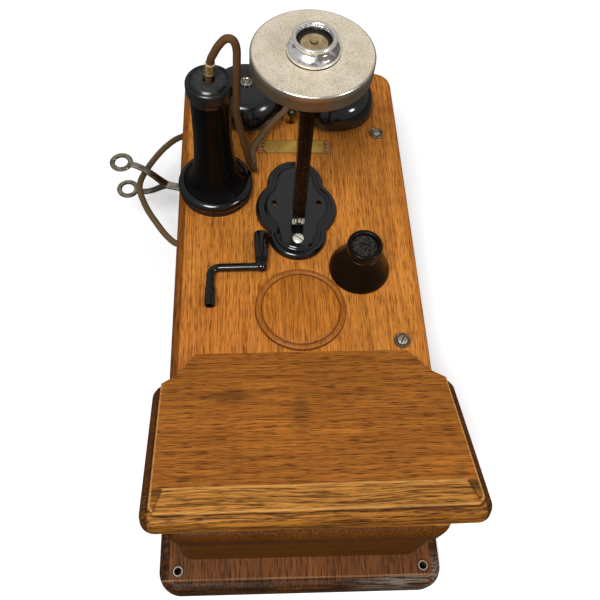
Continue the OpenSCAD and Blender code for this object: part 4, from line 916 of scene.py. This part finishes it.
def bow(r, z, size, start, end, count=8):  # part of a circle, in degrees
    turns = [math.radians(start + (end - start) * k / count) for k in range(count + 1)]
    return [(r + size * math.cos(a), z + size * math.sin(a)) for a in turns]


gongLook = {
    "centres": ((-43, 176, 131), (43, 176, 131)),
    "outside": [(3, 24), (10, 24), (17, 23.6), (23, 22.6), (28, 20.7), (32, 17.4), (34.8, 13), (36.6, 7.6),
                (37.6, 2.8), (38, 0)],
    "inside": [(36.4, 0), (36, 2.8), (35, 7.4), (33.2, 12.4), (30.6, 16.2), (27, 19), (22.4, 20.8),
               (16.8, 21.8), (10, 22.2), (3, 22.2)],
}
gongSection = drawn(gongLook["outside"]) + drawn(gongLook["inside"]) + [gongLook["outside"][0]]
for number, centre in enumerate(gongLook["centres"], 1):
    gong = turnPiece("gong%d" % number, gongSection, centre)
    finishPiece(gong, "japanBlack", "front_door", "black_japan", "gong_%d" % number)

postLook = {
    "foot": 122,
    "section": [(0, 0), (9, 0), (9, 2.4), (8.4, 3), (5, 3), (5, 31.2), (2.95, 31.2), (2.95, 33), (5.6, 33),
                (5.9, 33.4), (5.9, 34.2), (5.4, 34.9), (4.4, 35), (3.9, 34.5), (3.6, 34.3), (3.4, 34.6),
                (3.1, 35.2), (2, 35.7), (0, 35.9)],
}
for number, centre in enumerate(gongLook["centres"], 1):
    post = turnPiece("gongPost%d" % number, postLook["section"], (*centre[:2], postLook["foot"]), 48)
    finishPiece(post, "hookNickel", "front_door", "dark_steel", "gong_post_%d" % number)

receiverPlace = (-71, 77, 122.3)
earSection = (
    [(6, 5), (24.5, 0), (31.4, 0)] + bow(31.6, 0.9, 0.9, -80, 20, 5) + [(32.4, 1.9), (31.9, 2.5), (31.7, 3)]
    + bow(27.7, 8.3, 5.8, -46, 84, 18) + [(28.1, 13.9), (27.9, 13.4), (27.9, 9.2), (6, 9.2), (6, 5)]
)
shellSection = (
    drawn([(27.8, 13.6), (27.3, 14.3), (25.2, 17), (22.9, 20.6), (21, 25), (19.2, 31.5), (17.7, 42),
           (16.6, 56), (16, 76), (15.8, 97), (15.9, 113.5)], 4)
    + [(12.5, 113.5), (12.5, 49), (21, 17), (21, 9.6), (27.2, 9.6), (27.2, 13.3), (27.8, 13.6)]
)
tailSection = (
    [(16.2, 113.5), (16.6, 114.2), (16.7, 117.2)] + bow(16.2, 120.4, 2.3, -60, 0, 5) + [(18.5, 125.6)]
    + bow(15.6, 126.2, 2.9, 10, 82, 8)
    + drawn([(15.2, 128.6), (14.6, 128.3), (13.8, 128.9), (12.4, 129.8), (9, 130.2), (5, 130.4)], 3)
    + [(4.4, 129.9), (4.2, 129), (4.2, 113.5), (16.2, 113.5)]
)
receiverPieces = (
    ("earCap", earSection, "hardRubber", "ear_cap"),
    ("receiverShell", shellSection, "shellRubber", "receiver_shell"),
    ("tailCap", tailSection, "tailRubber", "tail_cap"),
)
for name, section, finish, node in receiverPieces:
    finishPiece(turnPiece(name, section, receiverPlace), finish, "receiver", "hard_rubber", node)

mouthPlace = (52.5, -9.2, 122.3)
mouthSection = (
    [(22.8, 0), (25.2, 0), (25.75, 0.6), (25.75, 2.2)]
    + drawn([(25.75, 2.4), (24.6, 5), (22.2, 9.4), (19.6, 14.6), (17.3, 20), (15.6, 25), (14.9, 27.6)], 4)
    + [(14.7, 28.4), (14.2, 28.8), (14.2, 33.2), (14.5, 33.6), (14.5, 36.6)] + bow(13.3, 36.8, 1.2, 10, 90, 5)
    + [(12.2, 38), (11.4, 37.6), (10.9, 36.8), (10.6, 34.6), (10.2, 34.2), (3.2, 34.2), (3.2, 33.4),
       (0, 33.4), (0, 32.4), (3.2, 32.2)]
    + drawn([(9.5, 28), (12, 24), (14.4, 19), (17, 13.4), (20, 7.6), (22.4, 3), (22.8, 0)], 4)
)
mouthpieceBell = turnPiece("mouthpieceBell", mouthSection, mouthPlace)
finishPiece(mouthpieceBell, "mouthBlack", "mouthpiece", "moulded_black", "mouthpiece")

faceSection = (
    [(13, 0), (40.3, 0)] + bow(40.6, -1.6, 1.65, 90, 0, 8)
    + [(42.25, -2.2), (42.25, -12.2), (41.8, -12.8), (40.25, -12.8), (40.25, -2), (13, -2), (13, 0)]
)
facePlate = turnPiece("facePlate", faceSection, faceLook["place"], 128)
finishPiece(facePlate, "faceNickel", "transmitter_arm", "aged_nickel", "faceplate")
collarSection = (
    [(17.6, 0)]
    + drawn([(17.9, 0.5), (18.2, 1.6), (17.9, 3.2), (16.9, 4.8), (15.4, 6.1), (14.1, 7.1), (13.45, 8.1),
             (13.4, 9.2)], 4)
    + drawn([(14.2, 9.9), (14.8, 10.4), (15.05, 11.1), (14.95, 11.9), (14.4, 12.5), (13.6, 12.6),
             (12.8, 12.4), (12.2, 11.8)], 3)
    + [(12, 11), (12, 0), (18.2, 0)]
)
faceCollar = turnPiece("faceCollar", collarSection, faceLook["place"], 128)
finishPiece(faceCollar, "collarNickel", "transmitter_arm", "bright_nickel", "collar")

washerLook = {
    "places": ((82.4, 144, 122), (82.4, -77.8, 122)),
    "section": [(2.05, 0), (7, 0), (6.95, 0.7), (6.6, 1.4), (6.1, 1.85), (5.6, 1.9), (5.2, 1.6), (4.95, 1),
                (4.7, 0.6), (4.3, 0.45), (2.05, 0.45), (2.05, 0)],
}
for number, centre in enumerate(washerLook["places"], 1):
    washer = turnPiece("cupWasher%d" % number, washerLook["section"], centre, 64)
    finishPiece(washer, "drabNickel", "front_door", "dark_steel", "cup_washer_%d" % number)
blankSection = (
    [(0, 0), (0, 3), (30.7, 3), (31.2, 2.8), (31.5, 2.3), (32.2, 1.9)] + bow(35.2, 0.35, 2.8, 148, 0, 14)
    + [(38, 0), (0, 0)]
)
dialBlank = turnPiece("dialBlank", blankSection, blankLook["place"], 128)
finishPiece(dialBlank, "oakBlank", "front_door", "oak_door", "dial_blank")
print("turned pieces made")


# pieces drawn as a closed outline, then inset and lifted step by step
def outlinePiece(name, outline, z):
    bpy.ops.object.select_all(action="DESELECT")
    bpy.ops.mesh.primitive_circle_add(vertices=len(outline), radius=0.01, fill_type="NGON")
    piece = bpy.context.object
    piece.name = piece.data.name = name
    for vertex, (x, y) in zip(piece.data.vertices, outline):
        vertex.co = (x / 1000, y / 1000, z / 1000)
    piece.data.update()
    facesDown = piece.data.polygons[0].normal.z < 0
    startEdit()
    if facesDown:
        bpy.ops.mesh.flip_normals()
    return piece


def stepUp(steps):  # each step is an inset and a height, both from the outline
    inset, height = 0.0, 0.0
    for newInset, newHeight in steps:
        bpy.ops.mesh.inset(thickness=(newInset - inset) / 1000, depth=(newHeight - height) / 1000,
                           use_even_offset=True)
        inset, height = newInset, newHeight


def cutBy(piece, cutter, operation):
    change = piece.modifiers.new("cut", "BOOLEAN")
    change.object = cutter
    change.operation = operation
    change.solver = "EXACT"
    pick(piece)
    bpy.ops.object.modifier_apply(modifier="cut")
    bpy.data.objects.remove(cutter)


def block(name, outline, low, high):  # straight prism, used as a cutter
    piece = outlinePiece(name, outline, low)
    bpy.ops.mesh.extrude_region_move(TRANSFORM_OT_translate={"value": (0, 0, (high - low) / 1000)})
    endEdit()
    return piece


def ring(x, y, radius):
    return bow(x, y, radius, 0, 360, 32)[:-1]


# slotted screws: a domed head on a shank, with the slot cut across it
def makeScrewHead(node):
    look = screwLook[node]
    x, y = middle(node)[:2]
    low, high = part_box(node)
    top, bottom = high[2] * 1000, low[2] * 1000
    foot = top - look["high"]
    edge = math.asin(look["radius"] / look["dome"])
    turns = [edge * (1 - k / slotLook["steps"]) for k in range(slotLook["steps"] + 1)]
    section = [(0, bottom - foot), (look["shank"] or look["radius"], bottom - foot)]
    if look["shank"]:
        section += [(look["shank"], 0), (look["radius"], look["cone"])]
    section += [(look["dome"] * math.sin(a), look["high"] - look["dome"] * (1 - math.cos(a))) for a in turns]
    piece = turnPiece(look["name"], section + [section[0]], (x, y, foot), 64)
    turn = math.radians(look["angle"])
    c, s = math.cos(turn), math.sin(turn)
    far, wide = 2 * look["radius"], slotLook["half"]
    corners = ((-far, -wide), (far, -wide), (far, wide), (-far, wide))
    slot = block("slot", [(x + a * c - b * s, y + a * s + b * c) for a, b in corners],
                 top - slotLook["deep"] * look["high"], top + slotLook["clear"])
    cutBy(piece, slot, "DIFFERENCE")
    closeUp(piece, 34)
    return piece


for node in screwLook:
    finishPiece(makeScrewHead(node), node, "front_door", "dark_steel", node)
print("screws made")


# base plate of the arm: lobed, with a rolled rim and a raised middle
baseLook = {
    "place": (1, 53, 122), "ends": (28, 26), "lobes": (4.5, 32.5), "points": 200, "blend": 26, "trim": 0.4,
    "steps": [(0, 1.2), (0.3, 2.6), (1, 4), (2, 5), (3.2, 5.5), (4.4, 5.3), (5.6, 4.5), (6.6, 3.9),
              (7.6, 3.9), (8.4, 4.4), (9.2, 5.3), (10.2, 5.9), (11.4, 6)],
    "lug": {"place": (33.6, 134.4), "radius": 5.6, "half": 2, "bore": 2.52, "foot": 4, "boreReach": 20},
    "holes": ((-20, 3.5, 2.6), (20, 3.5, 2.6)), "holeReach": (-5, 20),
}


def baseOutline():
    x0, y0 = baseLook["place"][:2]
    rise, end = baseLook["ends"]
    shift, lobe = baseLook["lobes"]
    blend = baseLook["blend"]
    circles = [(0, rise, end), (0, -rise, end), (shift, 0, lobe), (-shift, 0, lobe)]
    points = []
    for k in range(baseLook["points"]):
        turn = math.tau * k / baseLook["points"]
        c, s = math.cos(turn), math.sin(turn)
        total = 0.0
        for x, y, r in circles:
            off = x * s - y * c
            if abs(off) < r:
                total += max(x * c + y * s + math.sqrt(r * r - off * off), 0) ** blend
        reach = total ** (1 / blend) - baseLook["trim"]
        points.append((x0 + reach * c, y0 + reach * s))
    return points


def makeBase():
    x0, y0, z0 = baseLook["place"]
    piece = outlinePiece("armBase", baseOutline(), z0)
    stepUp(baseLook["steps"])
    bpy.ops.mesh.select_all(action="SELECT")
    bpy.ops.mesh.fill_holes(sides=0)
    endEdit()
    low, high = baseLook["holeReach"]
    for x, y, r in baseLook["holes"]:
        cutBy(piece, block("hole", ring(x0 + x, y0 + y, r), z0 + low, z0 + high), "DIFFERENCE")
    lug = baseLook["lug"]
    (y, z), radius = lug["place"], lug["radius"]
    foot = z0 + lug["foot"] - z
    side = [(radius, foot)] + bow(0, 0, radius, 0, 180, 20) + [(-radius, foot)]
    upright = block("lug", side, -lug["half"], lug["half"])
    bore = block("bore", ring(0, 0, lug["bore"]), -lug["boreReach"], lug["boreReach"])
    cutBy(upright, bore, "DIFFERENCE")
    standing = Matrix(((0, 0, 1, 0), (1, 0, 0, 0), (0, 1, 0, 0), (0, 0, 0, 1)))  # X to Y, Y to Z
    upright.data.transform(Matrix.Translation((x0 / 1000, y / 1000, z / 1000)) @ standing)
    cutBy(piece, upright, "UNION")
    closeUp(piece, 34)
    return piece


finishPiece(makeBase(), "japanBlack", "front_door", "black_japan", "arm_base")
print("base plate made")


# shelf: a nosed board with a stopped chamfer, lying on its slope
shelfForm = {
    "half": 116.5, "long": 148, "thick": 17, "corner": 11, "nose": 6.5, "quirk": 3, "arc": 12,
    "plan": [(85, 0), (98.2, 22.2), (112.1, 32.6), (116.5, 37), (131, 51), (131, 170)],
    "chamfer": 17, "stops": (102.5, 107.2), "back": -30, "arris": (0.05, 0.45, 0.4),
    "door": 0.12205, "planReach": (-40, 20), "wedgeReach": (-8, 8), "wedgeOver": 0.2,
}


def rounding(size, count):  # insets and heights of a rounded edge
    return bow(size, 0, size, 180, 90, count)[1:]


def mirrored(points):
    return points + [(-x, y) for x, y in reversed(points)]


def makeShelf():
    look = shelfForm
    half, long, nose, bend = look["half"], look["long"], look["nose"], look["corner"]
    widest = -look["quirk"] - nose
    outline = mirrored([(half, look["back"])] + bow(half - bend, long - bend, bend, 0, 90, look["arc"]))
    near, far, drop = look["arris"]
    upper = outlinePiece("writingShelf", outline, widest)
    stepUp(rounding(nose, 10) + [(nose + near, -widest - drop), (nose + far, -widest)])
    bpy.ops.object.mode_set(mode="OBJECT")
    under = nose / 2
    lower = outlinePiece("lowerHalf", outline, widest)
    down = look["thick"] + widest - under
    stepUp([(0, down)] + [(inset, down + height) for inset, height in rounding(under, 6)])
    bpy.ops.object.mode_set(mode="OBJECT")
    lower.data.transform(Matrix.Translation((0, 0, 2 * widest / 1000)) @ Matrix.Diagonal((1, 1, -1, 1)))
    pick(upper, lower)
    bpy.ops.object.join()
    startEdit()
    endEdit(0.000004)
    cutBy(upper, block("plan", mirrored(look["plan"]), *look["planReach"]), "INTERSECT")
    front, (back, ahead) = long - nose, look["stops"]
    start, end = front - look["chamfer"], front + look["wedgeOver"]
    corners = [(-back, start), (-ahead, end), (ahead, end), (back, start)]
    wedge = block("wedge", corners, *look["wedgeReach"])
    for vertex in wedge.data.vertices:
        if vertex.co.z < 0:
            vertex.co.z = 0 if vertex.co.y * 1000 < front - 1 else -look["quirk"] / 1000
    cutBy(upper, wedge, "DIFFERENCE")
    slope = (Matrix.Translation(shelfLook["place"]) @ Matrix.Rotation(shelfLook["turn"], 4, "Z")
             @ Matrix.Rotation(-shelfLook["slope"], 4, "X") @ Matrix.Diagonal((1, -1, 1, 1)))
    upper.data.transform(slope)
    startEdit()
    bpy.ops.mesh.bisect(plane_co=(0, 0, look["door"]), plane_no=(0, 0, 1), use_fill=True, clear_inner=True)
    bpy.ops.object.mode_set(mode="OBJECT")
    closeUp(upper, 34)
    return upper


finishPiece(makeShelf(), "oakShelf", "front_door", "oak_shelf", "shelf")
print("shelf made")


# hook: a flat bar that parts smoothly into two prongs, each ending in a ring
hookLook = {
    "pivot": (-62, 97, 82), "angle": 14.6, "tail": -14, "fork": 60, "rings": 105, "half": 20.5, "thick": 3,
    "high": 8, "low": 6, "ring": (11, 6.25), "hub": (6, 5.5, 2.06), "cut": 0.7, "overlap": 1.2, "steps": 24,
    "middle": 30, "under": 2, "ease": 0.45, "bevels": (0.8, 0.9, 0.6),
}


def makeBar(form, line, heights, thick):
    loops = []
    wide, cut = thick / 2, hookLook["cut"]
    for point, ahead, height in zip(line, headings(line), heights):
        side = Vector((-ahead.z, 0, ahead.x))
        high = height / 2
        section = [(-wide + cut, -high), (wide - cut, -high), (wide, -high + cut), (wide, high - cut),
                   (wide - cut, high), (-wide + cut, high), (-wide, high - cut), (-wide, -high + cut)]
        loops.append([form.verts.new(point + side * a + Vector((0, b, 0))) for a, b in section])
    skin(form, loops)


def makeHook():
    look = hookLook
    half, fork, high, thick = look["half"], look["fork"], look["high"], look["thick"]
    outer, bore = look["ring"]
    reach = look["rings"] - outer + look["overlap"] - fork
    form = bmesh.new()
    stations = (look["tail"], look["middle"], fork, fork + look["under"])
    makeBar(form, [Vector((x, 0, 0)) for x in stations], [high] * len(stations), thick)
    for way in (-1, 1):
        line, heights = [], []
        for t in (k / look["steps"] for k in range(look["steps"] + 1)):
            rise = t * t * (3 - 2 * t)
            run = t + look["ease"] * (t * t - t)
            line.append(Vector((fork + reach * run, 0, way * half * rise)))
            heights.append(high - (high - look["low"]) * rise)
        makeBar(form, line, heights, thick)
    bmesh.ops.scale(form, vec=(0.001, 0.001, 0.001), verts=form.verts)
    bar = fromForm("hookBar", form)
    lip = thick / 2
    inner, rim, bevel = look["bevels"]
    section = [(bore, 1 - lip), (bore + inner, -lip), (outer - rim, -lip), (outer, 1 - lip), (outer, lip - 1),
               (outer - rim, lip), (bore + inner, lip), (bore, lip - 1), (bore, 1 - lip)]
    radius, tall, hole = look["hub"]
    hub = [(hole, -tall), (radius - bevel, -tall), (radius, bevel - tall), (radius, tall - bevel),
           (radius - bevel, tall), (hole, tall), (hole, -tall)]
    parts = [turnPiece("hookRing", section, (look["rings"], 0, way * half), 48, 40) for way in (-1, 1)]
    parts.append(turnPiece("hookHub", hub, (0, 0, 0), 48, 40))
    pick(bar, *parts)
    bpy.ops.object.join()
    turn = Matrix.Rotation(math.radians(180 - look["angle"]), 4, "Z")
    bar.data.transform(Matrix.Translation(Vector(look["pivot"]) / 1000) @ turn)
    closeUp(bar, 40)
    return bar


finishPiece(makeHook(), "hookNickel", "hook", "aged_nickel", "hook_lever")
print("hook made")


# crank: a socket for the shaft, a tight bend, the arm, and a boss that carries the grip
crankLook = {
    "place": (-74.3, -11, 122), "throw": 43, "lift": 6.8, "drop": 2, "bend": 7.5, "bar": 3.6, "sides": 28,
    "socket": [(-25.9, 0.02), (-25.9, 3.05), (-35.7, 3.05), (-36, 3.35), (-36, 4), (-35.5, 4.5), (-34, 4.5),
               (-33.6, 4.15), (-33.1, 4.15), (-32.7, 4.5), (-20, 4.5), (-19.2, 4.3), (-18.5, 3.7)],
    "boss": [(0, -4.7), (1.6, -4.4), (3.2, -3.4), (4.3, -1.9), (4.75, 0), (4.75, 3.4), (4.3, 3.7), (4.3, 4.2),
             (5.1, 4.5), (5.1, 6), (4.7, 6.5)],
    "grip": [(5.1, 0), (5.5, 0.4), (5.6, 1.1), (5.75, 4), (6.05, 11), (6.4, 19), (6.5, 23.5), (6.4, 25.4),
             (5.9, 26.5), (5, 27), (4.1, 27), (3.8, 26.7)],
    "cap": [(3.2, 0), (3.5, 0.3), (3.3, 0.9)],
    "gripStart": 7, "gripLength": 27, "spindle": 2, "gap": 0.3, "fit": 0.05, "steps": 12,
}


def crankSpot():
    x, y, z = crankLook["place"]
    throw = crankLook["throw"]
    tilt = Matrix.Rotation(-math.atan2(crankLook["drop"], throw), 4, "Y")
    return Matrix.Translation(((x + throw) / 1000, y / 1000, (z + crankLook["lift"]) / 1000)) @ tilt


def makeCrankBar():
    look = crankLook
    bend, bar, throw, steps = look["bend"], look["bar"], look["throw"], look["steps"]
    loops = [(0, y, 90, r) for y, r in look["socket"]]
    for k, (x, y) in enumerate(bow(bend, -bend, bend, 180, 90, steps)):
        loops.append((x, y, 90 - 90 * k / steps, bar))
    loops.append((throw - 1, 0, 0, bar))
    form = bmesh.new()
    rings = []
    for x, y, heading, radius in loops:
        turn = math.radians(heading)
        side = Vector((-math.sin(turn), math.cos(turn), 0))
        point = Vector((x - throw, y, 0)) / 1000
        rings.append(addRing(form, point, radius / 1000, side, Vector((0, 0, 1)), look["sides"]))
    skin(form, rings)
    bmesh.ops.recalc_face_normals(form, faces=form.faces)
    return fromForm("crankBar", form)


def makeCrank():
    look = crankLook
    start, spindle = look["gripStart"], look["spindle"]
    cap = start + look["gripLength"] + look["gap"]
    upright = Matrix(((1, 0, 0, 0), (0, 0, 1, 0), (0, -1, 0, 0), (0, 0, 0, 1)))  # Z to Y
    stem = look["boss"] + [(spindle, look["boss"][-1][1]), (spindle, cap)]
    stem += [(radius, cap + height) for radius, height in look["cap"]]
    stem.append((0, stem[-1][1]))
    boss = turnPiece("crankBoss", stem, (0, 0, 0), 48)
    boss.data.transform(upright)
    bar = makeCrankBar()
    cutBy(bar, boss, "UNION")
    bar.data.transform(crankSpot())
    closeUp(bar, 38)
    inside = spindle + look["fit"]
    sleeve = [(inside, 0)] + look["grip"] + [(inside, look["grip"][-1][1]), (inside, 0)]
    grip = turnPiece("crankGrip", sleeve, (0, 0, 0), 64)
    grip.data.transform(crankSpot() @ upright @ Matrix.Translation((0, 0, start / 1000)))
    return bar, grip


crankBar, crankGrip = makeCrank()
finishPiece(crankBar, "crankBlack", "crank", "black_japan", "crank")
finishPiece(crankGrip, "crankBlack", "grip", "black_japan", "crank_grip")
print("crank made")


# pale floor and soft studio light
studio = {
    "floor": (0.92, 0.92, 0.92, 1), "unseen": (0.1, 0.095, 0.09, 1), "glow": 0.22, "shaded": (0.115, 0.25),
    "sky": 0.32, "below": -0.0003, "aim": (0, 0, 0.1),
}
lights = {
    "key": {"place": (-0.55, -0.97, 2.0), "size": 0.74, "power": 38.5},
    "side": {"place": (1.4, -0.8, 1.35), "size": 0.42, "power": 11},
    "ceiling": {"place": (0.1, 1.25, 2.3), "size": 1.7, "power": 1.5},
}


def makeFloor():
    bpy.ops.object.select_all(action="DESELECT")
    bpy.ops.mesh.primitive_plane_add(size=30, location=(0, 0, studio["below"]))
    floor = bpy.context.object
    floor.name = "studioFloor"
    shader, place = newMaterial("studioFloor")
    seen = addNode(place.tree, "ShaderNodeLightPath", output="Is Camera Ray")
    x, y = axes(place)[:2]
    halfX, halfY = studio["shaded"]
    clear = ramp(abs(x), halfX, halfX + 0.003).most(ramp(abs(y), halfY, halfY + 0.003))
    dress(shader, colour=tint(seen, studio["unseen"], studio["floor"]), glow=grey(seen * clear),
          power=studio["glow"], rough=0.9, gloss=0.1)
    floor.data.materials.append(materials["studioFloor"])


def makeLight(name):
    look = lights[name]
    data = bpy.data.lights.new(name, "AREA")
    data.size = look["size"]
    data.energy = look["power"]
    light = addObject(name, data)
    light.location = look["place"]
    light.rotation_mode = "QUATERNION"
    light.rotation_quaternion = (Vector(studio["aim"]) - light.location).to_track_quat("-Z", "Y")


makeFloor()
for name in lights:
    makeLight(name)
world = bpy.data.worlds.new("studio")
scene.world = world
world.use_nodes = True
background = world.node_tree.nodes["Background"].inputs
background[0].default_value = (1, 1, 1, 1)
background[1].default_value = studio["sky"]
scene.view_settings.view_transform = "Standard"
print("studio lit")
